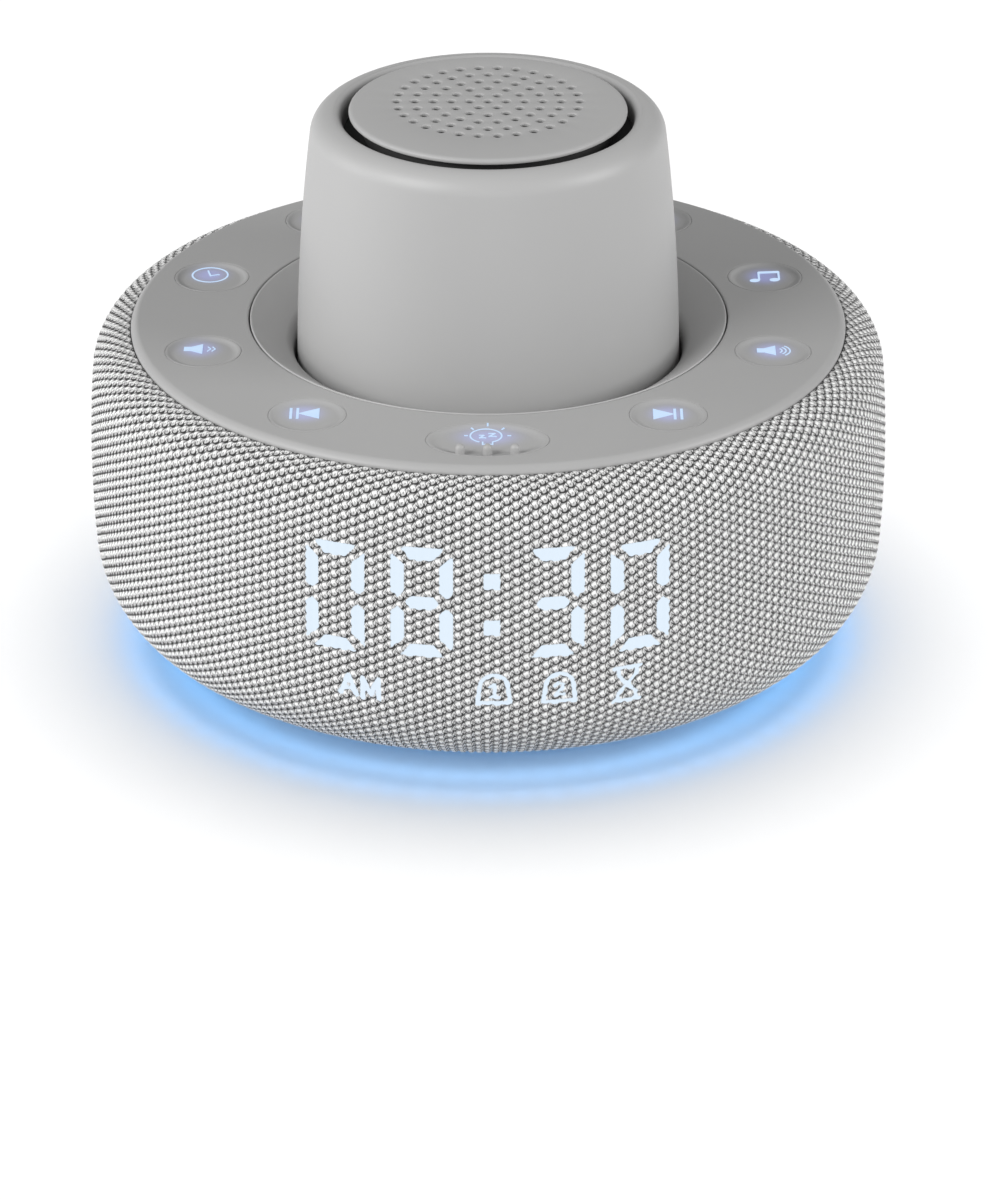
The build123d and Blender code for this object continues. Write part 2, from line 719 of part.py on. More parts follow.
# ---- under the base -------------------------------------------------------------------
cover_hole = screw_radius + seat_gap
with BuildPart() as bottom_cover:
    with BuildSketch(Plane.XY.offset(cover_bottom)):
        Circle(cover_radius)
    extrude(amount=cover_thickness)
    with BuildSketch(Plane.XY.offset(cover_bottom)):
        with PolarLocations(foot_circle, 4):
            Circle(foot_radius + seat_gap)
    extrude(amount=foot_recess, mode=Mode.SUBTRACT)
    with BuildSketch(Plane.XY.offset(cover_bottom)):
        with PolarLocations(post_circle, 4, start_angle=45):
            RegularPolygon(cover_hole, 6)
    extrude(amount=cover_thickness, mode=Mode.SUBTRACT)
    with BuildSketch(Plane.XY.offset(cover_bottom)):
        with PolarLocations(post_circle, 4, start_angle=45):
            Circle(screw_head_radius + seat_gap)
    extrude(amount=screw_head, mode=Mode.SUBTRACT)
    with BuildSketch(Plane.XY.offset(cover_top)):
        with GridLocations(2 * standoff_offset, 2 * standoff_offset, 2, 2):
            Rectangle(standoff_size, standoff_size)
    extrude(amount=main_board_bottom - cover_top)
save(bottom_cover.part, "bottom_cover")

with BuildPart() as rubber_feet:
    with BuildSketch():
        with PolarLocations(foot_circle, 4):
            Circle(foot_radius)
    extrude(amount=foot_height)
save(rubber_feet.part, "rubber_feet")

with BuildPart() as cover_screws:
    with BuildSketch(Plane.XY.offset(cover_bottom + 0.2)):
        with PolarLocations(post_circle, 4, start_angle=45):
            RegularPolygon(screw_head_radius, 12)
    extrude(amount=screw_head - 0.2)
    with BuildSketch(Plane.XY.offset(cover_bottom + 0.2)):
        with PolarLocations(post_circle, 4, start_angle=45):
            RegularPolygon(screw_radius, 6)
    extrude(amount=10)
save(cover_screws.part, "cover_screws")

# ---- glow ring under the rim ----------------------------------------------------------
# A translucent ring glued under the frame's flange, lit from above by a ring of lamps.
with BuildPart() as light_diffuser:
    ring(
        [
            (cover_radius + 0.4, cover_bottom + 0.6),
            (flange_bore, cover_bottom + 0.6),
            (diffuser_radius, frame_bottom),
            (cover_radius + 0.4, frame_bottom),
        ]
    )
save(light_diffuser.part, "light_diffuser")

with BuildPart() as light_board:
    with BuildSketch(Plane.XY.offset(light_board_seat)):
        RegularPolygon(light_board_outer, 36)
        RegularPolygon(light_board_inner, 36, mode=Mode.SUBTRACT)
    extrude(amount=board_thickness)
save(light_board.part, "light_board")

with BuildPart() as light_leds:
    with BuildSketch(Plane.XY.offset(light_board_seat)):
        with PolarLocations((light_board_inner + flange_bore) / 2, 24):
            Rectangle(2, 3)
    extrude(amount=-1.2)
save(light_leds.part, "light_leds")

# ---- main board -----------------------------------------------------------------------
main_board_top = main_board_bottom + board_thickness
socket_reach = main_board_size / 2 - 8
with BuildPart() as main_board:
    with BuildSketch(Plane.XY.offset(main_board_bottom)):
        Rectangle(main_board_size, main_board_size)
    extrude(amount=board_thickness)
save(main_board.part, "main_board")

with BuildPart() as board_chips:
    with BuildSketch(Plane.XY.offset(main_board_top)):
        with Locations((-8, 6)):
            Rectangle(12, 12)
        with Locations((12, 12)):
            Rectangle(8, 6)
        with Locations((12, -4)):
            Rectangle(5, 5)
    extrude(amount=1.2)
    with BuildSketch(Plane.XY.offset(main_board_top)):
        with Locations((-socket_reach, -10), (socket_reach, -14)):
            Rectangle(6, 6)
        with Locations((0, -socket_reach), (0, socket_reach + 2)):
            Rectangle(16, 5)
    extrude(amount=5)
save(board_chips.part, "board_chips")

# ---- charging pins in the well's pocket -----------------------------------------------
with BuildPart() as contact_board:
    with BuildSketch(Plane.XY.offset(well_underside)):
        with Locations((0, contact_line)):
            Rectangle(14, 9)
    extrude(amount=-board_thickness)
save(contact_board.part, "contact_board")

with BuildPart() as dock_contacts:
    with BuildSketch(Plane.XY.offset(well_underside)):
        with Locations((0, contact_line)):
            with GridLocations(pin_pitch, 0, 4, 1):
                RegularPolygon(pin_radius, 6)
    extrude(amount=well_wall + 0.1)
save(dock_contacts.part, "dock_contacts")

# ---- switches under the keys ----------------------------------------------------------
with BuildPart() as control_board:
    with BuildSketch(Plane.XY.offset(control_board_top)):
        RegularPolygon(key_ring_radius + control_board_reach, 30)
        RegularPolygon(key_ring_radius - control_board_reach, 30, mode=Mode.SUBTRACT)
    extrude(amount=-board_thickness)
save(control_board.part, "control_board")

with BuildPart() as tact_switches:
    with BuildSketch(Plane.XY.offset(control_board_top)):
        with PolarLocations(key_ring_radius, len(key_names), start_angle=-90):
            Rectangle(switch_size, switch_size)
    extrude(amount=switch_body)
    with BuildSketch(Plane.XY.offset(control_board_top + switch_body)):
        with PolarLocations(key_ring_radius, len(key_names), start_angle=-90):
            Rectangle(stem_size, stem_size)
    extrude(amount=switch_button)
save(tact_switches.part, "tact_switches")

with BuildPart() as key_lamps:
    with BuildSketch(Plane.XY.offset(control_board_top)):
        with PolarLocations(key_ring_radius - key_lamp_inset, len(key_names), start_angle=-90):
            Rectangle(lamp_size, lamp_size)
    extrude(amount=lamp_height)
save(key_lamps.part, "key_lamps")

# ---- display --------------------------------------------------------------------------
# A block with a light tunnel for each segment, dot and symbol. Its back is flat against the
# board with the lamps and its front is curved like the fabric, behind a thin film.
half_width = (digit_width - segment_width) / 2
half_height = (digit_height - segment_width) / 2
bar_length = 2 * half_width - 2 * segment_gap
upright_length = half_height - 2 * segment_gap
segments = [
    (0, half_height, bar_length, 0),
    (0, 0, bar_length, 0),
    (0, -half_height, bar_length, 0),
    (-half_width, half_height / 2, upright_length, 90),
    (half_width, half_height / 2, upright_length, 90),
    (-half_width, -half_height / 2, upright_length, 90),
    (half_width, -half_height / 2, upright_length, 90),
]


def segment_points(length):
    """A bar of the digits with pointed ends, lying along X about its own middle."""
    tip = length / 2
    edge = segment_width / 2
    upper = [(-tip, 0), (edge - tip, edge), (tip - edge, edge), (tip, 0)]
    return upper + [(tip - edge, -edge), (edge - tip, -edge)]


window_middle = (display_top + display_bottom) / 2
reflector_width = 2 * (window_half - parting_gap)
reflector_height = display_top - display_bottom - 2 * parting_gap
film_inner = film_radius - film_thickness


with BuildPart() as display_reflector:
    with BuildSketch(Plane.XY.offset(display_bottom + parting_gap)):
        Circle(film_inner - seat_gap)
        with Locations((0, -display_back - 20)):
            Rectangle(reflector_width, 40, mode=Mode.INTERSECT)
    extrude(amount=reflector_height)
    with BuildSketch(Plane.XZ.offset(display_back)):
        with Locations(*[(offset, display_middle) for offset in digit_offsets]):
            for across, up, length, angle in segments:
                with Locations(Location((across, up, 0), (0, 0, angle))):
                    Polygon(*segment_points(length), align=None)
        with Locations((0, display_middle + colon_rise), (0, display_middle - colon_rise)):
            Rectangle(colon_dot, colon_dot)
        with Locations(*[(offset, icon_height) for offset in icon_offsets]):
            Rectangle(icon_size, icon_size)
    extrude(amount=base_radius - display_back, mode=Mode.SUBTRACT)
save(display_reflector.part, "display_reflector")

with BuildPart() as display_film:
    with BuildSketch(Plane.XY.offset(display_bottom + parting_gap)):
        Circle(film_radius)
        Circle(film_inner, mode=Mode.SUBTRACT)
        with Locations((0, -display_back - 20)):
            Rectangle(reflector_width, 40, mode=Mode.INTERSECT)
    extrude(amount=reflector_height)
save(display_film.part, "display_film")

with BuildPart() as display_board:
    with BuildSketch(Plane.XZ.offset(display_back)):
        with Locations((0, window_middle)):
            Rectangle(reflector_width - 2 * display_board_margin, reflector_height)
    extrude(amount=-board_thickness)
save(display_board.part, "display_board")

with BuildPart() as display_lamps:
    with BuildSketch(Plane.XZ.offset(display_back)):
        with Locations(*[(offset, display_middle) for offset in digit_offsets]):
            for across, up, length, angle in segments:
                with Locations((across, up)):
                    Rectangle(lamp_size, lamp_size)
        with Locations((0, display_middle + colon_rise), (0, display_middle - colon_rise)):
            Rectangle(lamp_size, lamp_size)
        with Locations(*[(offset, icon_height) for offset in icon_offsets]):
            Rectangle(lamp_size, lamp_size)
    extrude(amount=lamp_height)
save(display_lamps.part, "display_lamps")

# ---- power inlet ----------------------------------------------------------------------
# A bezel closes the opening in the fabric. Its shelf carries the small board of the inlet.
inlet_top = inlet_height + inlet_depth / 2
inlet_bottom = inlet_height - inlet_depth / 2
bezel_back = bezel_face - bezel_depth
shelf_top = inlet_bottom - board_thickness
with BuildPart() as port_bezel:
    with BuildSketch(Plane.XZ.offset(-bezel_face)):
        with Locations((0, inlet_height)):
            Rectangle(bezel_width, bezel_height)
            Rectangle(inlet_width + 0.3, inlet_depth + 0.3, mode=Mode.SUBTRACT)
    extrude(amount=bezel_depth)
    with BuildSketch(Plane.XY.offset(inlet_height - bezel_height / 2)):
        with Locations((0, bezel_back - shelf_length / 2)):
            Rectangle(bezel_width, shelf_length)
    extrude(amount=shelf_top - inlet_height + bezel_height / 2)
save(port_bezel.part, "port_bezel")

with BuildPart() as inlet_board:
    with BuildSketch(Plane.XY.offset(shelf_top)):
        with Locations((0, bezel_back - shelf_length / 2)):
            Rectangle(bezel_width - 1, shelf_length)
    extrude(amount=board_thickness)
save(inlet_board.part, "inlet_board")

with BuildPart() as power_inlet:
    with BuildSketch(Plane.XZ.offset(-bezel_face + 0.4)):
        with Locations((0, inlet_height)):
            SlotOverall(inlet_width, inlet_depth)
            SlotOverall(inlet_width - 0.6, inlet_depth - 0.6, mode=Mode.SUBTRACT)
    extrude(amount=inlet_length)
    with BuildSketch(Plane.XZ.offset(inlet_length + 0.4 - bezel_face)):
        with Locations((0, inlet_height)):
            SlotOverall(inlet_width - 0.6, inlet_depth - 0.6)
    extrude(amount=-1)
    with BuildSketch(Plane.XZ.offset(inlet_length + 0.4 - bezel_face)):
        with Locations((0, inlet_height)):
            Rectangle(6.7, 0.7)
    extrude(amount=-(inlet_length - 1))
save(power_inlet.part, "power_inlet")
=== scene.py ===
# %% [markdown]
# # A bedside sound machine with a lift-out speaker
# The construction is already made to size in CAD, and is loaded here as a fixed frame.
# This script gives it its looks: a knitted sleeve with a clock shining through it, satin
# mouldings with soft edges, lit symbols on ten dished keys, and a ring of blue light under
# the rim. Everything is in metres and stands where the frame says.

import json
import math

import bmesh
import bpy
import numpy as np
from mathutils import Matrix, Vector


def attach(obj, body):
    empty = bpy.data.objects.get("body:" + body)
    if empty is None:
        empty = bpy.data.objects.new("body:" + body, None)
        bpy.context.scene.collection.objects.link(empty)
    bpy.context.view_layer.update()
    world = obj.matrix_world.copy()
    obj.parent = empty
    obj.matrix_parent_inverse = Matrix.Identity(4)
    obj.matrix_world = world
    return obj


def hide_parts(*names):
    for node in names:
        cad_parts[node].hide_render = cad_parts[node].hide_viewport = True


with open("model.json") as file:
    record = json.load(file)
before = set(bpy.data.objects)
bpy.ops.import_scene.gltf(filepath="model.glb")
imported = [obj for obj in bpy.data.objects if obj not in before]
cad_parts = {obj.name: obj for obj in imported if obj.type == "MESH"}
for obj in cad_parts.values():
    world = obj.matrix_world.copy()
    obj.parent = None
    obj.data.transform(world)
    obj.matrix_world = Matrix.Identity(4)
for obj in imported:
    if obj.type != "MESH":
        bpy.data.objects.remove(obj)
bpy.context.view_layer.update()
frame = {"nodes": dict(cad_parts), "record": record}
nodes = frame["nodes"]
MM = 0.001

# %% [markdown]
# ## Shader sums in plain Python
# A procedural material is mostly arithmetic: distances, masks and mixes. Adding Math nodes
# by hand hides that, so a small class wraps a socket and lets Python's own operators add
# them. Colours would turn grey in a Math node, so they go through Mix.


# %% A socket that can be added and multiplied
class Signal:
    """An output socket. Used in a sum, it adds the Math node that works the sum out."""

    def __init__(self, paint, socket):
        self.paint = paint
        self.socket = socket

    def math(self, operation, *values):
        inputs = dict(enumerate(values))
        return self.paint.node("ShaderNodeMath", inputs, operation=operation)

    def __add__(self, other):
        return self.math("ADD", self, other)

    def __sub__(self, other):
        return self.math("SUBTRACT", self, other)

    def __rsub__(self, other):
        return self.math("SUBTRACT", other, self)

    def __mul__(self, other):
        return self.math("MULTIPLY", self, other)

    def __truediv__(self, other):
        return self.math("DIVIDE", self, other)

    def __abs__(self):
        return self.math("ABSOLUTE", self)

    __radd__ = __add__
    __rmul__ = __mul__


# %% A material under construction
class Paint:
    """A material with one method that adds any node, and a few that name common ones."""

    def __init__(self, name):
        self.material = bpy.data.materials.new(name)
        self.material.use_nodes = True
        self.tree = self.material.node_tree
        self.tree.nodes.clear()

    def node(self, kind, values=None, output=0, **settings):
        """Adds a node, applies its settings, then sets or links its inputs."""
        node = self.tree.nodes.new(kind)
        for name, value in settings.items():
            if name == "stops":
                ramp = node.color_ramp.elements
                while len(ramp) < len(value):
                    ramp.new(0.5)
                for stop, (place, color) in zip(ramp, value):
                    stop.position = place
                    stop.color = color
            else:
                setattr(node, name, value)
        for name, value in (values or {}).items():
            if isinstance(value, Signal):
                self.tree.links.new(value.socket, node.inputs[name])
            else:
                node.inputs[name].default_value = value
        return Signal(self, node.outputs[output]) if node.outputs else None

    def smooth(self, value, low, high):
        """0 below low, 1 above high, and an even S-curve between them."""
        values = {"Value": value, "From Min": low, "From Max": high}
        return self.node("ShaderNodeMapRange", values, interpolation_type="SMOOTHSTEP")

    def mix(self, factor, first, second):
        """The first colour where the factor is 0 and the second where it is 1."""
        values = {0: factor, 6: first, 7: second}
        return self.node("ShaderNodeMix", values, output=2, data_type="RGBA")

    def noise(self, vector, scale, detail=2.0, roughness=0.5):
        values = {"Vector": vector, "Scale": scale, "Detail": detail}
        return self.node("ShaderNodeTexNoise", {**values, "Roughness": roughness})

    def place(self):
        return self.node("ShaderNodeTexCoord", output="Object")

    def attribute(self, name):
        """A number stored at each vertex of the piece."""
        return self.node("ShaderNodeAttribute", output="Fac", attribute_name=name)

    def parts(self, vector):
        """The X, Y and Z of a vector as three signals."""
        split = self.node("ShaderNodeSeparateXYZ", {"Vector": vector})
        return [Signal(self, socket) for socket in split.socket.node.outputs]

    def bump(self, height, distance, strength):
        values = {"Height": height, "Distance": distance, "Strength": strength}
        return self.node("ShaderNodeBump", values)

    def surface(self, **sockets):
        """Ends the material in a Principled BSDF. Socket names use _ for a space."""
        values = {name.replace("_", " "): value for name, value in sockets.items()}
        shader = self.node("ShaderNodeBsdfPrincipled", values)
        self.node("ShaderNodeOutputMaterial", {"Surface": shader})
        return self.material


BLACK = (0, 0, 0, 1)
NEAR_BLACK = (0.02, 0.02, 0.02, 1)
WHITE = (1, 1, 1, 1)


def grey(level):
    """A neutral colour, a hair on the warm side, as the mouldings are."""
    return (level, level * 0.998, level * 0.993, 1)


def shade(color, factor=1.0, lift=0.0):
    """A colour made darker or paler, with its alpha."""
    return (*(min(1, part * factor + lift) for part in color), 1)


# %% [markdown]
# ## The size of the base
# The sleeve's side is one slow curve between a generous bottom corner and a small shoulder.
# These values are the construction's own, so that the new skins lie where the frame carries
# them.

# %% The outline's values
BASE_RADIUS = 80 * MM
BELLY_HEIGHT = 39 * MM
BELLY_BOW = 240 * MM
SIDE_LOW = 24 * MM
SIDE_HIGH = 60 * MM
CORNER_RADIUS = 20.5 * MM
SHOULDER_RADIUS = 9 * MM
PANEL_TOP = 69.5 * MM
PANEL_RADIUS = 71.4 * MM
MOUTH_RADIUS = 47.3 * MM
low_angle = math.asin((SIDE_LOW - BELLY_HEIGHT) / BELLY_BOW)
high_angle = math.asin((SIDE_HIGH - BELLY_HEIGHT) / BELLY_BOW)
belly_centre = Vector((BASE_RADIUS - BELLY_BOW, 0, BELLY_HEIGHT))


def from_belly(radius, angle):
    """A point at an angle on a circle about the belly curve's centre."""
    return belly_centre + radius * Vector((math.cos(angle), 0, math.sin(angle)))


corner_centre = from_belly(BELLY_BOW - CORNER_RADIUS, low_angle)
shoulder_centre = from_belly(BELLY_BOW - SHOULDER_RADIUS, high_angle)
print("bottom corner turns about", tuple(round(v, 4) for v in corner_centre))

# %% [markdown]
# ## Drawing with spin
# Every round moulding here begins as an outline of a few arcs. `bmesh.ops.spin` draws an
# arc by sweeping the chain's last vertex about a centre, and sweeps the whole outline about
# the vertical axis in the same way. That keeps each arc's radius and each wall's thickness
# as plain numbers.


# %% What an operator made
def verts_of(geometry):
    return [g for g in geometry if isinstance(g, bmesh.types.BMVert)]


def edges_of(geometry):
    return [g for g in geometry if isinstance(g, bmesh.types.BMEdge)]


# %% An outline of lines and arcs
class Outline:
    """A chain of vertices in the XZ plane, drawn onward from its last one."""

    def __init__(self, x, z):
        self.mesh = bmesh.new()
        self.end = self.mesh.verts.new((x, 0, z))

    def line(self, x, z, steps=1):
        """A straight run to a point."""
        start = self.end.co.copy()
        for step in range(1, steps + 1):
            made = bmesh.ops.extrude_vert_indiv(self.mesh, verts=[self.end])
            self.end = made["verts"][0]
            self.end.co = start.lerp(Vector((x, 0, z)), step / steps)
        return self

    def runs(self, *points):
        """Straight runs through points given in millimetres."""
        for x, z in points:
            self.line(x * MM, z * MM)
        return self

    def arc(self, centre, angle, steps):
        """An arc about a centre. A positive angle, in degrees, turns +X towards +Z."""
        made = bmesh.ops.spin(
            self.mesh,
            geom=[self.end],
            cent=centre,
            axis=(0, -1, 0),
            angle=math.radians(angle),
            steps=steps,
        )
        self.end = verts_of(made["geom_last"])[0]
        return self

    def sweep(self, steps, angle=360, gores=1):
        """Turns the outline about the Z axis. A fine sweep is one gore, copied round."""
        axis = {"cent": (0, 0, 0), "axis": (0, 0, 1)}
        gore = math.radians(angle / gores)
        bmesh.ops.spin(
            self.mesh,
            geom=self.mesh.verts[:] + self.mesh.edges[:],
            angle=gore,
            steps=steps // gores,
            use_merge=angle == 360 and gores == 1,
            **axis,
        )
        if gores > 1:
            bmesh.ops.spin(
                self.mesh,
                geom=self.mesh.verts[:] + self.mesh.edges[:] + self.mesh.faces[:],
                angle=gore * (gores - 1),
                steps=gores - 1,
                use_duplicate=True,
                **axis,
            )
        return self.mesh


# %% From a bmesh to a finished piece
def clean(mesh):
    """Merges doubles and turns every face outward."""
    bmesh.ops.remove_doubles(mesh, verts=mesh.verts, dist=1e-6)
    bmesh.ops.recalc_face_normals(mesh, faces=mesh.faces)


def add_object(name, data):
    """An object at the origin for some data."""
    thing = bpy.data.objects.new(name, data)
    bpy.context.scene.collection.objects.link(thing)
    return thing


def to_object(name, mesh):
    """An object of a bmesh, which is freed."""
    data = bpy.data.meshes.new(name)
    mesh.to_mesh(data)
    mesh.free()
    return add_object(name, data)


def finish_piece(name, mesh, body, material, sharp=35):
    """Makes a piece of a bmesh, with smooth faces and creases where it turns sharply."""
    clean(mesh)
    for edge in mesh.edges:
        edge.smooth = edge.calc_face_angle(0) < math.radians(sharp)
    for face in mesh.faces:
        face.smooth = True
    piece = to_object(name, mesh)
    piece.data.materials.append(material)
    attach(piece, body)
    print(name, len(piece.data.polygons), "faces")
    return piece


# %% [markdown]
# ## Camera, floor and light
# A product shot on a pale sweep: a large soft lamp on the left, weaker ones on the right
# and in front, and an even sky. None of them lights the floor. That has a sun of its own
# straight overhead, so that the shadow falls right under the base, and the blue light there
# isn't washed out.

# %% The camera
TILT = math.radians(27.07)
DISTANCE = 1.09
target = Vector((2.35 * MM, 0, 5.1 * MM))
camera_data = bpy.data.cameras.new("camera")
camera_data.lens = 159.1
camera_data.sensor_width = 36
camera_data.clip_start = 0.05
camera_data.clip_end = 120  # past the floor's far edge
camera = add_object("camera", camera_data)
camera.location = target + DISTANCE * Vector((0, -math.cos(TILT), math.sin(TILT)))
camera.rotation_euler = (math.pi / 2 - TILT, 0, 0)
bpy.context.scene.camera = camera
bpy.context.scene.view_settings.view_transform = "Standard"

# %% The floor
FLOOR_RADIUS = 60  # so wide that a low view shows no edge
floor_paint = Paint("pale_floor")
rays = ["Is Camera Ray", "Is Glossy Ray", "Is Transmission Ray"]
seen = sum(floor_paint.node("ShaderNodeLightPath", output=ray) for ray in rays)
floor_color = floor_paint.mix(seen, (0.72, 0.72, 0.73, 1), WHITE)
floor_shade = floor_paint.node("ShaderNodeBsdfDiffuse", {"Color": floor_color})
floor_paint.node("ShaderNodeOutputMaterial", {"Surface": floor_shade})
sheet = bmesh.new()
bmesh.ops.create_circle(sheet, cap_ends=True, segments=96, radius=FLOOR_RADIUS)
floor = to_object("floor", sheet)
floor.data.materials.append(floor_paint.material)

# %% The sky
world = bpy.data.worlds.new("studio")
bpy.context.scene.world = world
world.use_nodes = True
sky = world.node_tree.nodes["Background"]
sky.inputs["Color"].default_value = WHITE
sky.inputs["Strength"].default_value = 0.36

# %% The lamps
off_floor = bpy.data.collections.new("lamps_for_object")
off_floor.objects.link(floor)
off_floor.collection_objects[0].light_linking.link_state = "EXCLUDE"
on_floor = bpy.data.collections.new("lamps_for_floor")
on_floor.objects.link(floor)


def add_lamp(name, kind, power, lights, **settings):
    """A lamp that lights only what a collection lets it."""
    data = bpy.data.lights.new(name, kind)
    data.energy = power
    for setting, value in settings.items():
        setattr(data, setting, value)
    lamp = add_object(name, data)
    lamp.light_linking.receiver_collection = lights
    return lamp


def soft_lamp(name, place, power, width):
    """A square lamp at a place, turned to look at the object, that spares the floor."""
    lamp = add_lamp(name, "AREA", power, off_floor, size=width)
    lamp.location = place
    direction = Vector((0, 0, 0.05)) - Vector(place)
    lamp.rotation_euler = direction.to_track_quat("-Z", "Y").to_euler()


soft_lamp("lamp_left", (-0.95, -0.7, 0.85), 13.8, 0.7)
soft_lamp("lamp_right", (1.2, -0.35, 0.6), 10, 0.6)
soft_lamp("lamp_low_left", (-1.2, 0.05, 0.35), 3.8, 0.6)
soft_lamp("lamp_front", (0.15, -1.5, 0.4), 2.7, 0.8)
overhead = add_lamp("floor_overhead", "SUN", 2.2, on_floor, angle=1.05)
overhead.rotation_euler = (math.radians(-4), 0, 0)
print("a floor", 2 * FLOOR_RADIUS, "m wide, under", len(bpy.data.lights), "lamps")

# %% [markdown]
# ## Satin mouldings
# The panel, keys, well and speaker are one family of satin grey plastic. Real mould texture
# is far finer than a pixel, so it is a faint bump and a slight change of roughness, with a
# very soft variation of tone that keeps large faces from looking computed.


# %% The plastic
def satin_start(name, level):
    """A satin material begun: its paint, its slow and fine noise, and two sockets."""
    paint = Paint(name)
    place = paint.place()
    cloud = paint.noise(place, 22, 3)
    speck = paint.noise(place, 2600, 2, 0.6)
    tone = paint.mix(cloud, grey(level * 0.97), grey(level * 1.03))
    sockets = {"Base_Color": tone, "Normal": paint.bump(speck, 0.02 * MM, 0.6)}
    return paint, cloud, speck, sockets


def satin(name, level, roughness=0.46):
    paint, cloud, speck, sockets = satin_start(name, level)
    rough = roughness + 0.06 * (speck - 0.5) + 0.05 * (cloud - 0.5)
    return paint.surface(Roughness=rough, **sockets)


KEY_LEVEL = 0.37
panel_plastic = satin("panel_satin", 0.37)
key_plastic = satin("key_satin", KEY_LEVEL)
well_plastic = satin("well_satin", 0.46)
speaker_plastic = satin("speaker_satin", 0.40)
grille_metal = satin("grille_satin", 0.39, 0.5)

# %% [markdown]
# ## The knitted sleeve
# The sleeve is a warp knit: columns of small round stitches, each column half a stitch off
# its neighbours, with thin yarn crossing between them. A bump map alone would leave the rim
# smooth against the light, so the stitches are real relief on a fine grid: the side's
# outline is spun half way round, twice, with four points to each stitch, and every point is
# pushed out along its normal. Finer yarn, painted shade in the gaps between stitches and a
# painted highlight on each stitch are left to the material, which reads the same stitch
# coordinates from a UV map.

# %% The stitch grid
COLUMNS = 270
ROW = 1.9 * MM
PER_STITCH = 4
LUMP_HEIGHT = 0.32 * MM
KNIT_FACE = 0.12 * MM  # the skin lies this far inside the construction's face
TUCK = 1.2 * MM


def knit_outline():
    """The side from the bottom tuck up to the tuck under the panel, evenly divided."""
    step = ROW / PER_STITCH
    corner = CORNER_RADIUS - KNIT_FACE
    shoulder = SHOULDER_RADIUS - KNIT_FACE
    edge = math.acos((PANEL_RADIUS + 0.15 * MM - shoulder_centre.x) / shoulder)
    turns = [
        (corner_centre, math.pi / 2 + low_angle, corner),
        (belly_centre, high_angle - low_angle, BELLY_BOW - KNIT_FACE),
        (shoulder_centre, edge - high_angle, shoulder),
    ]
    chain = Outline(corner_centre.x - TUCK, corner_centre.z - corner + TUCK)
    chain.line(corner_centre.x, corner_centre.z - corner, 3)
    for centre, angle, radius in turns:
        chain.arc(centre, math.degrees(angle), max(1, round(angle * radius / step)))
    end = chain.end.co.copy()
    chain.line(end.x - 0.1 * MM, end.z - TUCK, 3)
    return chain


def stitch_height(across, up):
    """Relief of the knit, 0 to 1, at a place counted in columns and rows."""
    column = np.floor(across)
    beside = across - column - 0.5
    above = up + 0.5 * (column % 2)
    above = above - np.floor(above) - 0.5
    return np.sqrt(np.clip(1 - (beside / 0.5) ** 2 - (above / 0.56) ** 2, 0, 1))


column_width = 2 * math.pi * BASE_RADIUS / MM / COLUMNS
print("stitches round the base:", COLUMNS, "each", round(column_width, 2), "mm wide")

# %% [markdown]
# ## The clock behind the knit
# The digits are light that comes through the yarn, so they belong to the sleeve, not to a
# label on it. Each vertex of the sleeve gets its distance to the nearest lit shape, in
# millimetres, negative inside. A distance stays accurate between vertices where a plain
# on-off mask would be ragged, and the material can let the yarn break the edge up a little.

# %% Distances to shapes
def to_polygon(x, z, corners):
    """Distance to a convex polygon whose corners run anticlockwise."""
    distance = np.full_like(x, -1e3)
    for (ax, az), (bx, bz) in zip(corners, corners[1:] + corners[:1]):
        length = math.hypot(bx - ax, bz - az)
        outward = ((x - ax) * (bz - az) - (z - az) * (bx - ax)) / length
        distance = np.maximum(distance, outward)
    return distance


def to_stroke(x, z, points, half_width):
    """Distance to a line of some width through the points."""
    distance = np.full_like(x, 1e3)
    for (ax, az), (bx, bz) in zip(points, points[1:]):
        square = (bx - ax) ** 2 + (bz - az) ** 2
        along = np.clip(((x - ax) * (bx - ax) + (z - az) * (bz - az)) / square, 0, 1)
        near = np.hypot(x - ax - along * (bx - ax), z - az - along * (bz - az))
        distance = np.minimum(distance, near - half_width)
    return distance


# %% The seven segments
TOP_BAR = [(-2.2, 9.0), (2.2, 9.0), (4.3, 11.7), (-4.3, 11.7)]
MIDDLE_BAR = [(-3.3, 0), (-2.2, -1.35), (2.2, -1.35), (3.3, 0), (2.2, 1.35), (-2.2, 1.35)]
UPPER_RIGHT = [(3.4, 2.2), (4.7, 1.0), (6.0, 2.2), (6.0, 10.2), (3.4, 7.9)]


def flipped(corners, across=1, up=1):
    """The polygon mirrored left to right or top to bottom, still anticlockwise."""
    turned = [(x * across, z * up) for x, z in corners]
    return turned if across * up > 0 else turned[::-1]


SEGMENTS = {
    "a": TOP_BAR,
    "b": UPPER_RIGHT,
    "c": flipped(UPPER_RIGHT, up=-1),
    "d": flipped(TOP_BAR, up=-1),
    "e": flipped(UPPER_RIGHT, -1, -1),
    "f": flipped(UPPER_RIGHT, across=-1),
    "g": MIDDLE_BAR,
}
LIT = {"0": "abcdef", "3": "abcdg", "8": "abcdefg"}
INNER = (44.8, 0.975)  # a digit's middle, in millimetres, and its stretch upward
OUTER = (44.1, 0.955)
DIGITS = [("0", -29.7, OUTER), ("8", -12.5, INNER), ("3", 12.5, INNER), ("0", 29.7, OUTER)]
DOTS = [(0.8, 49.7), (0.8, 40.0)]
DOT_HALF = 1.6

# %% The small symbols under the digits
LETTERS = [
    ([(-29.0, 23.3), (-27.2, 27.5), (-25.6, 23.3)], 0.5),
    ([(-28.2, 24.6), (-26.3, 24.6)], 0.4),
    ([(-24.4, 23.0), (-24.4, 27.4), (-22.8, 23.9), (-21.2, 27.4), (-21.2, 23.0)], 0.5),
]


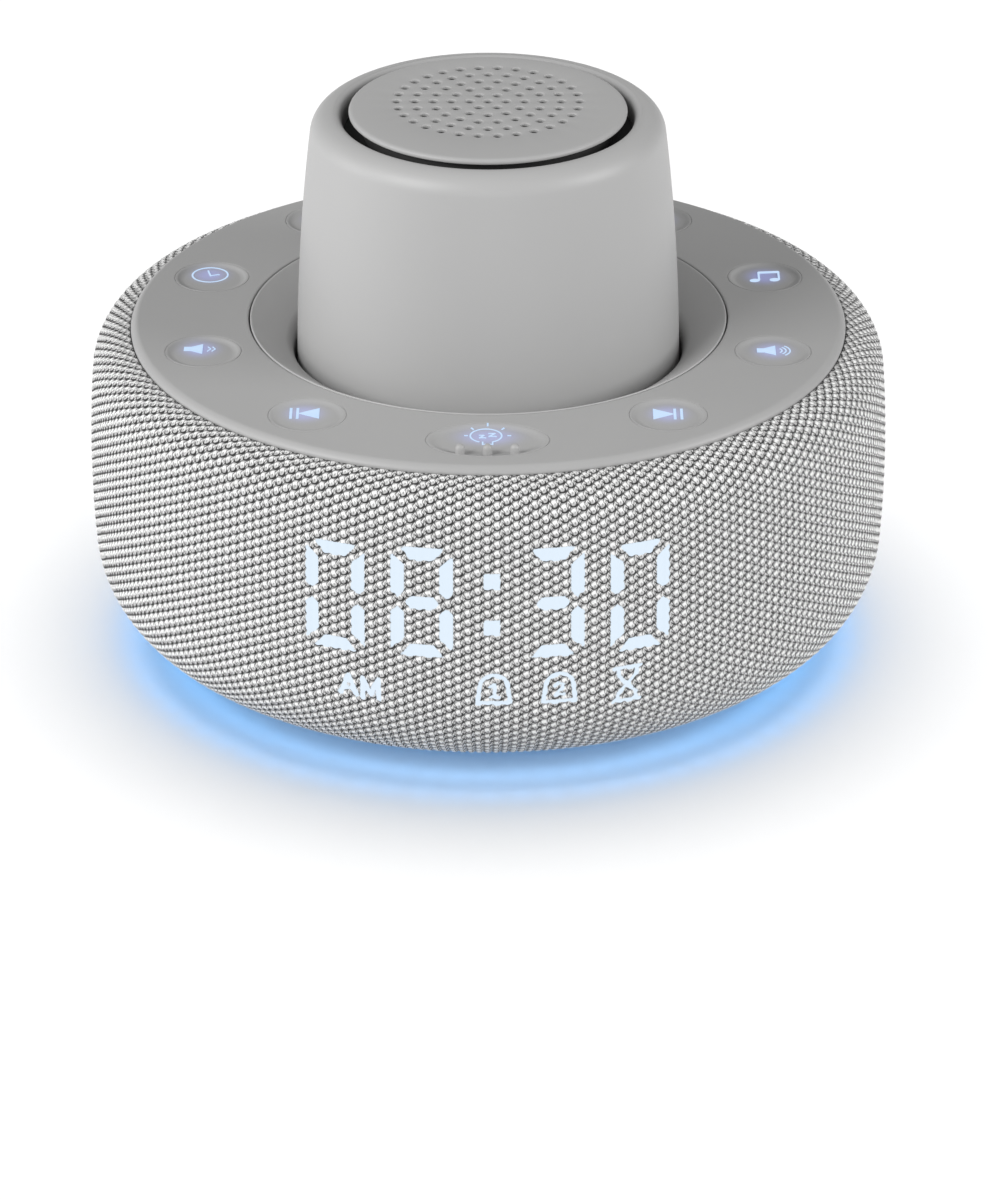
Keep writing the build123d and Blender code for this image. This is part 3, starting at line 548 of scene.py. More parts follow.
def bell(cx, bottom):
    """An alarm bell in outline, closed along its foot."""
    turns = [math.pi * step / 12 for step in range(13)]
    dome = [(cx + 2.7 * math.cos(t), bottom + 3.4 + 2.7 * math.sin(t)) for t in turns]
    return [(cx - 3.2, bottom), (cx + 3.2, bottom), *dome, (cx - 3.2, bottom)]


BELLS = [(bell(1.2, 23.7), 0.42), (bell(13.8, 23.5), 0.42)]
TWO = [(12.9, 27.0), (13.5, 27.6), (14.5, 27.2), (14.4, 26.4), (13.0, 25.0), (14.8, 25.0)]
NUMERALS = [
    ([(0.5, 27.2), (1.3, 27.8), (1.3, 25.0)], 0.38),
    ([(0.4, 25.0), (2.2, 25.0)], 0.3),
    (TWO, 0.33),
]
GLASS = [
    ([(24.6, 21.9), (30.0, 21.9)], 0.4),
    ([(24.6, 29.2), (30.0, 29.2)], 0.4),
    ([(25.4, 21.9), (25.5, 23.6), (27.3, 25.5), (25.5, 27.5), (25.4, 29.2)], 0.38),
    ([(29.2, 21.9), (29.1, 23.6), (27.3, 25.5), (29.1, 27.5), (29.2, 29.2)], 0.38),
]
STROKES = LETTERS + BELLS + NUMERALS + GLASS


def light_distance(x, z):
    """Millimetres from each place on the wall to the nearest lit shape."""
    nearest = np.full_like(x, 50.0)
    for name, offset, (middle, stretch) in DIGITS:
        for segment in LIT[name]:
            shape = to_polygon(x - offset, (z - middle) / stretch, SEGMENTS[segment])
            nearest = np.minimum(nearest, shape)
    for cx, cz in DOTS:
        square = np.maximum(abs(x - cx), abs(z - cz)) - DOT_HALF
        nearest = np.minimum(nearest, square)
    for points, half_width in STROKES:
        nearest = np.minimum(nearest, to_stroke(x, z, points, half_width))
    return nearest


print("lit bars:", sum(len(LIT[name]) for name, _, _ in DIGITS), "strokes:", len(STROKES))

# %% [markdown]
# ## The knit's finish
# In stitch coordinates the pattern is simple: an oval lump in each cell, thin bright yarn
# along the sides of a column, painted shade in the gaps, along each stitch's lower edge and
# in its middle, and a painted highlight on each stitch's upper half. Where the distance to
# a lit shape is negative, the yarn's own colour gives way to cool white light.


# %% The knit material
def knit_material():
    paint = Paint("heathered_knit")
    across, up, _ = paint.parts(paint.node("ShaderNodeUVMap", uv_map="stitches"))
    place = paint.place()
    wobble = paint.noise(place, 900, 1) - 0.5
    across = across + 0.22 * wobble
    column = across.math("FLOOR", across)
    beside = across - column - 0.5
    odd = column.math("MODULO", abs(column), 2.0)
    drift = 0.14 * (paint.noise(place, 700, 1) - 0.5)
    risen = up + 0.5 * odd + drift
    above = risen - risen.math("FLOOR", risen) - 0.5
    oval = (beside * beside) / 0.16 + (above * above) / 0.20
    lump = 1 - paint.smooth(oval, 0.5, 1.1)
    slant = above - 0.5 * beside
    # Painted shade: a dark slanted line between the rows of stitches.
    under = 1 - paint.smooth(abs(abs(slant) - 0.5), 0.02, 0.13)
    # Painted shadow: the lower part of each stitch's rim is darkened into a crescent.
    rim = 1 - paint.smooth(abs(oval - 1.1), 0.1, 0.6)
    foot = rim * (1 - paint.smooth(above - 0.25 * beside, -0.20, 0.08))
    swing = 0.12 * above.math("SINE", 6.28 * above)
    left = beside + 0.45 + swing
    right = beside - 0.45 + swing
    strand = 2 - paint.smooth(abs(left), 0.02, 0.08) - paint.smooth(abs(right), 0.02, 0.08)
    # Painted shade: thin dark lines between each strand and the stitches beside it.
    left_tick = paint.smooth(abs(left - 0.12), 0.02, 0.10)
    right_tick = paint.smooth(abs(right + 0.12), 0.02, 0.10)
    gap_shade = 2 - left_tick - right_tick
    # Painted shade in the fold at the middle of each stitch.
    fold_shade = 1 - paint.smooth(abs(beside - 0.04) * 1.5 + abs(above + 0.05), 0.05, 0.24)
    fibre = paint.noise(place, 5200, 2, 0.7)
    heather = paint.noise(place, 1300, 2, 0.7)
    # Painted highlight: each stitch's upper half is made lighter, as if lit from above. The
    # next line takes off the painted shade and shadow.
    level = 0.63 + 0.27 * lump * paint.smooth(above, -0.28, 0.16)
    level = level - 0.16 * under - 0.78 * foot - 0.36 * gap_shade - 0.30 * fold_shade * lump
    level = level + 0.33 * strand * (1 - 0.6 * under)
    level = level + 0.32 * (fibre - 0.5) + 0.46 * (heather - 0.5)
    height = lump.math("MAXIMUM", lump * (1 - 0.4 * under), 0.5 * strand)
    height = height + 0.2 * (fibre - 0.5)
    stops = [(0.0, grey(0.03)), (0.30, grey(0.13)), (0.62, grey(0.46)), (0.95, grey(0.95))]
    yarn = paint.node("ShaderNodeValToRGB", {"Fac": level}, stops=stops)
    distance = paint.attribute("lit_distance")
    ragged = distance + 0.12 * (0.5 - lump) + 0.25 * (fibre - 0.5)
    lit = 1 - paint.smooth(ragged, -0.08, 0.12)
    return paint.surface(
        Base_Color=paint.mix(lit, yarn, NEAR_BLACK),
        Roughness=0.9,
        Sheen_Weight=0.05,
        Sheen_Roughness=0.5,
        Emission_Color=paint.mix(lit, BLACK, (0.73, 0.84, 0.95, 1)),
        Emission_Strength=1.0,
        Normal=paint.bump(height * (1 - 0.8 * lit), 0.22 * MM, 0.9),
    )


knit = knit_material()


# %% The opening for the port
PORT_HALF = 7.45 * MM
PORT_LOW = 16.55 * MM
PORT_HIGH = 25.45 * MM


def near_port(face, margin=0.0):
    """True for a face at the rear with its middle in the opening, or a margin round it."""
    middle = face.calc_center_median()
    level = PORT_LOW - margin < middle.z < PORT_HIGH + margin
    return level and middle.y > 0 and abs(middle.x) < PORT_HALF + margin


def cut_window(mesh):
    """Opens the sleeve for the port, with straight edges."""
    planes = [((side * PORT_HALF, 0, 0), (side, 0, 0)) for side in (-1, 1)]
    planes += [((0, 0, PORT_LOW), (0, 0, -1)), ((0, 0, PORT_HIGH), (0, 0, 1))]
    for place, across in planes:
        near = [face for face in mesh.faces if near_port(face, 2 * MM)]
        edges = dict.fromkeys(edge for face in near for edge in face.edges)
        verts = dict.fromkeys(vert for face in near for vert in face.verts)
        parts = [*verts, *edges, *near]
        bmesh.ops.bisect_plane(mesh, geom=parts, plane_co=place, plane_no=across)
    inside = [face for face in mesh.faces if near_port(face)]
    bmesh.ops.delete(mesh, geom=inside, context="FACES")
    print("the port's window took", len(inside), "faces")


# %% Stitches on a spun half
def read(items, name, width=1, kind=np.float32):
    """One property of every vertex or corner, a row for each."""
    values = np.empty(len(items) * width, kind)
    items.foreach_get(name, values)
    return values.reshape(-1, width) if width > 1 else values


def lay_stitches(skin, middle, first_column, height):
    """Counts a half in stitches, stores its distance to the light, and raises the lumps."""
    places = read(skin.vertices, "co", 3, float)
    outward = read(skin.vertices, "normal", 3)
    rows = read(skin.attributes["rise"].data, "value")
    x, y = places[:, 0], places[:, 1]
    ahead = x * math.cos(middle) + y * math.sin(middle)
    aside = y * math.cos(middle) - x * math.sin(middle)
    columns = first_column + COLUMNS * (0.5 + np.arctan2(aside, ahead) / (2 * math.pi))
    owners = read(skin.loops, "vertex_index", kind=np.int32)
    stitches = np.stack([columns[owners], rows[owners]], 1).astype(np.float32)
    skin.uv_layers.new(name="stitches").data.foreach_set("uv", stitches.ravel())
    bearing = np.arctan2(x, -y)
    distances = light_distance(bearing * BASE_RADIUS / MM, places[:, 2] / MM)
    lit = skin.attributes.new("lit_distance", "FLOAT", "POINT")
    lit.data.foreach_set("value", distances.astype(np.float32))
    fade = np.clip(np.minimum(rows - 0.9, height - 1.6 - rows), 0, 1)
    relief = stitch_height(columns, rows) * fade * LUMP_HEIGHT
    places += outward * relief[:, None]
    skin.vertices.foreach_set("co", places.ravel())
    skin.update()


def knit_half(name, middle, first_column):
    """Half of the sleeve, centred on an angle in degrees, its stitches counted onward."""
    chain = knit_outline()
    rise = chain.mesh.verts.layers.float.new("rise")
    count = len(chain.mesh.verts)
    for index, vertex in enumerate(chain.mesh.verts):
        vertex[rise] = index / PER_STITCH
    turn = Matrix.Rotation(math.radians(middle - 90), 3, "Z")
    bmesh.ops.rotate(chain.mesh, verts=chain.mesh.verts, cent=(0, 0, 0), matrix=turn)
    mesh = chain.sweep(COLUMNS * PER_STITCH // 2, angle=180, gores=20)
    if middle > 0:
        cut_window(mesh)
    piece = finish_piece(name, mesh, "base", knit, sharp=180)
    lay_stitches(piece.data, math.radians(middle), first_column, count / PER_STITCH)
    return piece, count


front_knit, rows_up = knit_half("knit_front", -90, 0.5)
back_knit, rows_up = knit_half("knit_back", 90, 0.5 + COLUMNS // 2)
sleeve_height = rows_up * ROW / PER_STITCH
for half in (front_knit, back_knit):
    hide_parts("fabric_sleeve")
print("sleeve", rows_up, "points high,", round(sleeve_height / MM), "mm of knit")

# %% [markdown]
# ## The key panel
# The panel is a flat ring with a softly sloping lip beside the knit and ten openings.
# Booleans would leave ragged edges there that no bevel can round, so the face is filled
# between circles instead. Each circle starts a little outside its opening: the flat band
# between them keeps the shading level, and the rounded edge is extruded from it.

# %% Where the keys stand
KEY_RING = 59 * MM
KEY_RADIUS = 7.5 * MM
LIGHT_KEY_RADIUS = 11.8 * MM
KEY_GAP = 0.05 * MM
KEY_NAMES = ["light", "next", "volume_up", "sound", "alarm_2"]
KEY_NAMES += ["timer", "alarm_1", "clock", "volume_down", "previous"]


def key_place(name):
    """Where a key stands, and its half width."""
    turn = math.radians(36 * KEY_NAMES.index(name) - 90)
    wide = LIGHT_KEY_RADIUS if name == "light" else KEY_RADIUS
    return Vector((KEY_RING * math.cos(turn), KEY_RING * math.sin(turn), 0)), wide


# %% Loops and rungs
def loop(mesh, centre, half_x, half_y, z, steps):
    """An open ellipse of edges."""
    place = Matrix.Translation((centre.x, centre.y, z))
    scale = Matrix.Diagonal((half_x, half_y, 1, 1))
    made = bmesh.ops.create_circle(mesh, segments=steps, radius=1, matrix=place @ scale)
    return list(dict.fromkeys(e for v in made["verts"] for e in v.link_edges))


def rungs(mesh, edges, centre, half_x, half_y, steps):
    """Extrudes a loop through (growth, height) steps, and returns its last edges."""
    for growth, z in steps:
        made = bmesh.ops.extrude_edge_only(mesh, edges=edges)
        verts = verts_of(made["geom"])
        edges = [e for e in edges_of(made["geom"]) if len(e.link_faces) < 2]
        wide = (half_x + growth * MM) / max(abs(v.co.x - centre.x) for v in verts)
        deep = (half_y + growth * MM) / max(abs(v.co.y - centre.y) for v in verts)
        about = Matrix.Translation((-centre.x, -centre.y, 0))
        bmesh.ops.scale(mesh, verts=verts, vec=(wide, deep, 1), space=about)
        bmesh.ops.translate(mesh, verts=verts, vec=(0, 0, z * MM - verts[0].co.z))
    return edges


def pierced_plate(top, loops):
    """A face filled between loops, whose edges are drawn down and filled again below.

    A loop is a centre, two half widths, a number of edges and its steps in millimetres.
    """
    mesh = bmesh.new()
    starts = [loop(mesh, c, a, b, top, n) for c, a, b, n, _ in loops]
    face = [edge for edges in starts for edge in edges]
    bmesh.ops.triangle_fill(mesh, use_beauty=True, edges=face)
    ends = []
    for edges, (centre, half_x, half_y, _, steps) in zip(starts, loops):
        ends += rungs(mesh, edges, centre, half_x, half_y, steps)
    bmesh.ops.triangle_fill(mesh, use_beauty=True, edges=ends)
    return mesh


# %% The panel
CENTRE = Vector((0, 0, 0))
PANEL_LIP = [(0.35, 69.5), (0.75, 69.3), (1.2, 68.9), (1.5, 68.55), (1.65, 68.2)]
PANEL_LIP += [(1.6, 67.7), (1.45, 67.3)]
PANEL_BORE = [(-0.3, 69.5), (-0.42, 69.45), (-0.5, 69.36), (-0.53, 69.2), (-0.53, 67.3)]
KEY_HOLE = [(-0.42, 69.5), (-0.48, 69.49), (-0.52, 69.45), (-0.53, 69.4), (-0.53, 67.3)]
HOLE_BAND = 0.53 * MM  # a key hole's loop starts this far outside its wall
FLAT_OUTER = 69.75 * MM  # the flat face ends here, and the lip and the bore's edge begin
FLAT_INNER = 48.43 * MM
panel_loops = [
    (CENTRE, FLAT_OUTER, FLAT_OUTER, 360, PANEL_LIP),
    (CENTRE, FLAT_INNER, FLAT_INNER, 240, PANEL_BORE),
]
for name in KEY_NAMES:
    place, wide = key_place(name)
    band = KEY_GAP + HOLE_BAND
    panel_loops.append((place, wide + band, KEY_RADIUS + band, 96, KEY_HOLE))
ring = pierced_plate(PANEL_TOP, panel_loops)
panel = finish_piece("panel_ring", ring, "base", panel_plastic, 50)
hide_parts("top_panel")

# %% [markdown]
# ## The keys
# Each key is a shallow dish that is level with the panel at its rim. Its section is two
# arcs that meet on the slope: the wide lower one fades into the floor, and the tighter
# upper one rolls over and catches a thin line of light. The light key is the same dish
# drawn out sideways, with three small pegs to find it by touch. Below the panel, each keeps
# the stem that works its switch.

# %% The dish
DISH_DEPTH = 0.55 * MM
DISH_FLOOR = PANEL_TOP - DISH_DEPTH
KEY_BOTTOM = PANEL_TOP - 3.4 * MM
SLOPE_RUN = 1.9 * MM
SLOPE = 2 * math.atan(DISH_DEPTH / SLOPE_RUN)
HOLLOW = 0.65 * SLOPE_RUN / math.sin(SLOPE)
ROLL = 0.35 * SLOPE_RUN / math.sin(SLOPE)
RIM = 0.07 * MM
SLOPE_START = KEY_RADIUS - RIM - SLOPE_RUN


def dish():
    """A round dish on the Z axis, from its floor over the rim and down to its underside."""
    crest = SLOPE_START + SLOPE_RUN
    chain = Outline(0, DISH_FLOOR).line(SLOPE_START, DISH_FLOOR, 8)
    chain.arc((SLOPE_START, 0, DISH_FLOOR + HOLLOW), math.degrees(SLOPE), 8)
    chain.arc((crest, 0, PANEL_TOP - ROLL), -math.degrees(SLOPE), 8)
    chain.arc((crest, 0, PANEL_TOP - RIM), -90, 4)
    chain.line(KEY_RADIUS, KEY_BOTTOM).line(0, KEY_BOTTOM)
    return chain.sweep(96)


def dish_rise(reach):
    """The dish's height over its floor, at a distance from its middle."""
    past = reach - SLOPE_START
    if past <= 0:
        return 0.0
    if past < HOLLOW * math.sin(SLOPE):
        return HOLLOW - math.sqrt(HOLLOW**2 - past**2)
    short = max(0.0, SLOPE_RUN - past)
    return DISH_DEPTH - ROLL + math.sqrt(ROLL**2 - short**2)


# %% Blocks and pegs
PEG_RADIUS = 0.9 * MM
PEG_TOP = 71.2 * MM


def join_block(mesh, low, high, round_by=0.0):
    """Adds a block between two corners given in millimetres, its edges rounded by some."""
    low, high = (Vector([part * MM for part in corner]) for corner in (low, high))
    place = Matrix.Translation((high + low) / 2) @ Matrix.Diagonal((*(high - low), 1))
    made = bmesh.ops.create_cube(mesh, size=1, matrix=place)
    if round_by:
        edges = dict.fromkeys(e for v in made["verts"] for e in v.link_edges)
        bmesh.ops.bevel(
            mesh,
            geom=list(edges),
            offset=round_by * MM,
            segments=3,
            profile=0.5,
            affect="EDGES",
            material=-1,
        )
    return mesh


def join_peg(mesh, x, y):
    """A domed peg on the dish's front slope."""
    shoulder = PEG_TOP - PEG_RADIUS
    peg = Outline(0, PEG_TOP).arc((0, 0, shoulder), -78, 5).line(PEG_RADIUS, shoulder)
    peg.line(PEG_RADIUS * 1.08, DISH_FLOOR - 0.2 * MM)
    peg.sweep(20)
    bmesh.ops.translate(peg.mesh, verts=peg.mesh.verts, vec=(x, y, 0))
    part = bpy.data.meshes.new("peg")
    peg.mesh.to_mesh(part)
    peg.mesh.free()
    mesh.from_mesh(part)
    bpy.data.meshes.remove(part)


# %% [markdown]
# ## Light that spills into the dish
# The symbols are lit from behind, and a little of that light bleeds through the plastic as
# a violet haze. A real glow needs a render of light scattered inside the wall. Here the key
# carries its distance from the symbol as an attribute, and glows where that is small.


# %% The lit key's plastic
def lit_key_plastic():
    paint, _, speck, sockets = satin_start("lit_key_satin", KEY_LEVEL)
    near = 1 - paint.smooth(paint.attribute("from_symbol"), 1.0, 6.6)
    return paint.surface(
        Roughness=0.46 + 0.06 * (speck - 0.5),
        Emission_Color=paint.mix(near * near, BLACK, (0.055, 0.075, 0.29, 1)),
        Emission_Strength=1.0,
        **sockets,
    )


lit_plastic = lit_key_plastic()

# %% Placing the ten keys
SYMBOL_SHIFT = {
    "clock": (-0.5, 2.1),
    "volume_down": (-0.8, 2.0),
    "previous": (-0.6, 1.6),
    "light": (0.0, 2.4),
}
STEM_FOOT = 64.8  # millimetres, as are the next two
STEM_HALF = 1.5
FAR = 50  # past any haze
PEG_PITCH = 5.2 * MM
PEG_ROW = -5.5 * MM


def symbol_shift(name):
    """How far a symbol stands from the middle of its key."""
    return Vector(SYMBOL_SHIFT.get(name, (0.0, 1.3))) * MM


for name in KEY_NAMES:
    place, wide = key_place(name)
    shift = symbol_shift(name)
    mesh = dish()
    away = mesh.verts.layers.float.new("from_symbol")
    for vertex in mesh.verts:
        near = (vertex.co.xy - shift).length / MM
        vertex[away] = max(0.1, near) if vertex.co.z > DISH_FLOOR - 1e-6 else FAR
    stretch = Matrix.Diagonal((wide / KEY_RADIUS, 1, 1))
    bmesh.ops.transform(mesh, verts=mesh.verts, matrix=stretch.to_4x4())
    if name == "light":
        for step in (-1, 0, 1):
            join_peg(mesh, step * PEG_PITCH, PEG_ROW)
    stem_top = (STEM_HALF, STEM_HALF, KEY_BOTTOM / MM)
    join_block(mesh, (-STEM_HALF, -STEM_HALF, STEM_FOOT), stem_top)
    for vertex in mesh.verts:
        if vertex[away] == 0:
            vertex[away] = FAR
    bmesh.ops.translate(mesh, verts=mesh.verts, vec=place)
    key = finish_piece(f"dish_{name}", mesh, f"key_{name}", lit_plastic, 60)
    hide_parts(f"key_{name}")

# %% [markdown]
# ## The symbols
# A symbol is a few strokes of even width and a few filled shapes. Both are drawn as a pen
# would: a short edge as wide as the stroke is extruded along straight runs and spun round
# bends, and widened or narrowed for a horn or an arrow. The flat ribbons then get a hair of
# thickness and are laid over the dish, so that they stand as thin lit windows on it.


# %% A pen that extrudes ribbons
class Pen:
    """Draws in millimetres on a flat sheet. Headings are degrees from +X."""

    def __init__(self):
        self.mesh = bmesh.new()

    def start(self, x, y, heading, width):
        turn = math.radians(heading)
        self.ahead = Vector((math.cos(turn), math.sin(turn), 0))
        side = Vector((-self.ahead.y, self.ahead.x, 0)) * width / 2
        here = Vector((x, y, 0))
        left = self.mesh.verts.new(here + side)
        made = bmesh.ops.extrude_vert_indiv(self.mesh, verts=[left])
        made["verts"][0].co = here - side
        self.nib = made["edges"][0]
        return self

    def middle(self):
        return (self.nib.verts[0].co + self.nib.verts[1].co) / 2

    def take(self, geometry):
        """Moves the nib to the edge that an operator drew, and returns the edge's ends."""
        ends = set(verts_of(geometry))
        self.nib = next(e for e in edges_of(geometry) if ends.issuperset(e.verts))
        return list(self.nib.verts)

    def go(self, length, width=None):
        """A straight run, to another width where one is given."""
        now = self.nib.calc_length()
        made = bmesh.ops.extrude_edge_only(self.mesh, edges=[self.nib])
        verts = self.take(made["geom"])
        bmesh.ops.translate(self.mesh, verts=verts, vec=self.ahead * length)
        if width is not None:
            middle = self.middle()
            for vertex in verts:
                vertex.co = middle + (vertex.co - middle) * width / now
        return self

    def bend(self, radius, degrees, steps):
        """A run round a bend, to the left where the angle is positive."""
        side = Vector((-self.ahead.y, self.ahead.x, 0)) * math.copysign(radius, degrees)
        made = bmesh.ops.spin(
            self.mesh,
            geom=[self.nib, *self.nib.verts],
            cent=self.middle() + side,
            axis=(0, 0, 1),
            angle=math.radians(degrees),
            steps=steps,
        )
        self.take(made["geom_last"])
        self.ahead.rotate(Matrix.Rotation(math.radians(degrees), 3, "Z"))
        return self

    def path(self, points, width):
        """A stroke through points, with round joints."""
        for (ax, ay), (bx, by) in zip(points, points[1:]):
            heading = math.degrees(math.atan2(by - ay, bx - ax))
            self.start(ax, ay, heading, width).go(math.hypot(bx - ax, by - ay))
            self.oval(bx, by, width / 2, width / 2, steps=10)
        return self

    def oval(self, x, y, half_x, half_y, lean=0, steps=24):
        """A filled oval."""
        place = Matrix.Translation((x, y, 0)) @ Matrix.Rotation(math.radians(lean), 4, "Z")
        place = place @ Matrix.Diagonal((half_x, half_y, 1, 1))
        bmesh.ops.create_circle(
            self.mesh, cap_ends=True, segments=steps, radius=1, matrix=place
        )
        return self


# %% The ten drawings
def draw_horn(pen):
    pen.start(-3.1, 0, 0, 1.9).go(1.4).go(2.3, 4.5)


def draw_clock(pen):
    pen.start(3.6, 0, 90, 0.36).bend(3.6, 360, 40)
    pen.path([(-0.5, 2.1), (0.1, -0.5), (1.8, 0.1)], 0.34)


def draw_volume_down(pen):
    draw_horn(pen)
    for x in (1.6, 2.5):
        pen.path([(x, 1.0), (x + 0.6, 0), (x, -1.0)], 0.22)


def draw_volume_up(pen):
    draw_horn(pen)
    half_turn = math.radians(52)
    for radius in (1.15, 1.95, 2.75):
        x, y = radius * math.cos(half_turn), radius * math.sin(half_turn)
        pen.start(0.7 + x, -y, 38, 0.3).bend(radius, 104, 12)


def draw_skip(pen, way):
    """An arrow and two bars, to the right where the way is 1 and to the left where -1."""
    pen.start(-2.9 * way, 0, 90 - 90 * way, 4.8).go(3.9, 0.3)
    for x in (1.3, 2.6):
        pen.start(x * way, -2.4, 90, 0.55).go(4.8)


def draw_light(pen):
    pen.start(0.95, -2.35, 25, 0.34).bend(3.0, 310, 36)
    pen.path([(0.95, -2.4), (0.95, -3.5), (-0.95, -3.5), (-0.95, -2.4)], 0.32)
    for turn in (0, 45, 90, 135, 180):
        x, y = math.cos(math.radians(turn)), math.sin(math.radians(turn))
        pen.start(3.75 * x, 0.35 + 3.75 * y, turn, 0.36).go(0.75)
    pen.path([(-1.7, 0.5), (-0.7, 0.5), (-1.5, -0.6), (-0.4, -0.6)], 0.36)
    pen.path([(0.1, 1.3), (1.4, 1.3), (0.3, 0.0), (1.6, 0.0)], 0.36)


def draw_sound(pen):
    pen.oval(-2.05, -2.0, 1.05, 0.8, 15).oval(2.0, -1.6, 1.05, 0.8, 15)
    pen.path([(-1.15, -1.9), (-1.15, 2.1), (2.9, 2.5), (2.9, -1.4)], 0.42)
    pen.path([(-1.15, 1.6), (2.9, 2.0)], 0.5)


def draw_alarm(pen, numeral):
    pen.path([(-2.7, -2.2), (2.7, -2.2)], 0.34)
    pen.start(2.2, -2.2, 90, 0.34).go(2.2).bend(2.2, 180, 18).go(2.2)
    pen.start(-0.6, -2.7, -60, 0.3).bend(0.7, 120, 6)
    pen.path(numeral, 0.32)


def draw_timer(pen):
    for y in (-2.4, 2.4):
        pen.path([(-2.3, y), (2.3, y)], 0.42)
    for side in (-1, 1):
        waist = [(1.7, 2.4), (1.7, 1.5), (0.35, 0), (1.7, -1.5), (1.7, -2.4)]
        pen.path([(side * x, y) for x, y in waist], 0.34)


NUMERAL_1 = [(-0.5, 0.6), (0.1, 1.1), (0.1, -1.3)]
NUMERAL_2 = [(-0.8, 0.6), (-0.2, 1.1), (0.6, 0.8), (0.6, 0.2), (-0.8, -1.2), (0.9, -1.2)]
DRAWINGS = {
    "clock": (draw_clock,),
    "volume_down": (draw_volume_down,),
    "previous": (draw_skip, -1),
    "light": (draw_light,),
    "next": (draw_skip, 1),
    "volume_up": (draw_volume_up,),
    "sound": (draw_sound,),
    "alarm_1": (draw_alarm, NUMERAL_1),
    "alarm_2": (draw_alarm, NUMERAL_2),
    "timer": (draw_timer,),
}


# %% The lit windows
def glow_material():
    paint = Paint("lit_symbol")
    flicker = paint.noise(paint.place(), 500, 2)
    return paint.surface(
        Base_Color=NEAR_BLACK,
        Roughness=0.5,
        Emission_Color=paint.mix(flicker, (0.50, 0.68, 0.93, 1), (0.60, 0.76, 0.96, 1)),
        Emission_Strength=1.0,
    )


symbol_glow = glow_material()
for name in KEY_NAMES:
    pen = Pen()
    draw, *more = DRAWINGS[name]
    draw(pen, *more)
    mesh = pen.mesh
    place, wide = key_place(name)
    bmesh.ops.recalc_face_normals(mesh, faces=mesh.faces)
    bmesh.ops.solidify(mesh, geom=mesh.faces[:], thickness=0.05)
    bmesh.ops.scale(mesh, verts=mesh.verts, vec=(MM, MM, MM))
    lowest = min(vertex.co.z for vertex in mesh.verts)
    shift = Vector((*symbol_shift(name), -lowest))
    bmesh.ops.translate(mesh, verts=mesh.verts, vec=shift)
    for vertex in mesh.verts:
        reach = math.hypot(vertex.co.x * KEY_RADIUS / wide, vertex.co.y)
        vertex.co.z += dish_rise(reach)
    lift = Vector((0, 0, DISH_FLOOR + 0.02 * MM))
    bmesh.ops.translate(mesh, verts=mesh.verts, vec=place + lift)
    finish_piece(f"symbol_{name}", mesh, f"key_{name}", symbol_glow)

# %% [markdown]
# ## Cutting tools
# Some shapes are easiest to see as a machinist would make them: a solid, less a block or a
# rod. Booleans do that on closed meshes. The exact solver is slower than the fast one, and
# is the one that copes with faces that touch. Only its result is kept.


# %% Joining and cutting
def machined(name, body, steps):
    """The body after boolean steps, each an operation and a closed mesh."""
    clean(body)
    work = to_object(name, body)
    tools = []
    for operation, tool in steps:
        clean(tool)
        tools.append(to_object(f"{name}_tool", tool))
        step = work.modifiers.new(operation.lower(), "BOOLEAN")
        step.operation = operation
        step.object = tools[-1]
        step.solver = "EXACT"
    done = work.evaluated_get(bpy.context.evaluated_depsgraph_get())
    result = bmesh.new()
    result.from_mesh(done.to_mesh())
    done.to_mesh_clear()
    for thing in [work, *tools]:
        data = thing.data
        bpy.data.objects.remove(thing)
        bpy.data.meshes.remove(data)
    print(name, "cut in", len(steps), "steps:", len(result.faces), "faces")
    return result


# %% [markdown]
# ## The speaker's skin
# The speaker is a cup with a side that leans in by a slow curve, a soft shoulder, and a
# roll into the groove round its grille. All of that is one outline of tangent arcs, swept
# round in one go. The inner wall follows it, so that the shell has its real thickness at
# the parting line. A rib for the keyway is joined at the back, and a pocket in it leaves
# the power key room to move.

# %% The shell
SPEAKER_RADIUS = 38.3 * MM
SIDE_BOW = 430 * MM
SIDE_TANGENT = 56 * MM
SHOULDER = 4.7 * MM
CREST_TOP = 113 * MM
GROOVE_ROLL = 2.0 * MM
GROOVE_RADIUS = 28.7 * MM
DECK = 108 * MM
DRIVER_HOLE = 22.5 * MM
PARTING = 53.8 * MM
JOINT_ROUND = 0.25 * MM
WALL = 2.2 * MM


def speaker_shell():
    """The closed outline of the shell, anticlockwise from the parting line."""
    bow = (SPEAKER_RADIUS - SIDE_BOW, 0, SIDE_TANGENT)
    rise = CREST_TOP - SHOULDER - SIDE_TANGENT
    lean = math.asin(rise / (SIDE_BOW - SHOULDER))
    across = bow[0] + (SIDE_BOW - SHOULDER) * math.cos(lean)
    foot = SPEAKER_RADIUS - JOINT_ROUND
    chain = Outline(foot, PARTING).arc((foot, 0, PARTING + JOINT_ROUND), 90, 4)
    chain.line(SPEAKER_RADIUS, SIDE_TANGENT)
    chain.arc(bow, math.degrees(lean), 28)
    chain.arc((across, 0, CREST_TOP - SHOULDER), 90 - math.degrees(lean), 16)
    chain.line(GROOVE_RADIUS + GROOVE_ROLL, CREST_TOP)
    chain.arc((GROOVE_RADIUS + GROOVE_ROLL, 0, CREST_TOP - GROOVE_ROLL), 90, 10)
    chain.line(GROOVE_RADIUS, DECK).line(DRIVER_HOLE, DECK).line(DRIVER_HOLE, DECK - WALL)
    chain.line(33.4 * MM, DECK - WALL).line(SPEAKER_RADIUS - WALL, 62 * MM)
    chain.line(SPEAKER_RADIUS - WALL, PARTING).line(foot, PARTING)
    print("shoulder starts", round(across / MM, 1), "mm out")
    return chain.sweep(192)


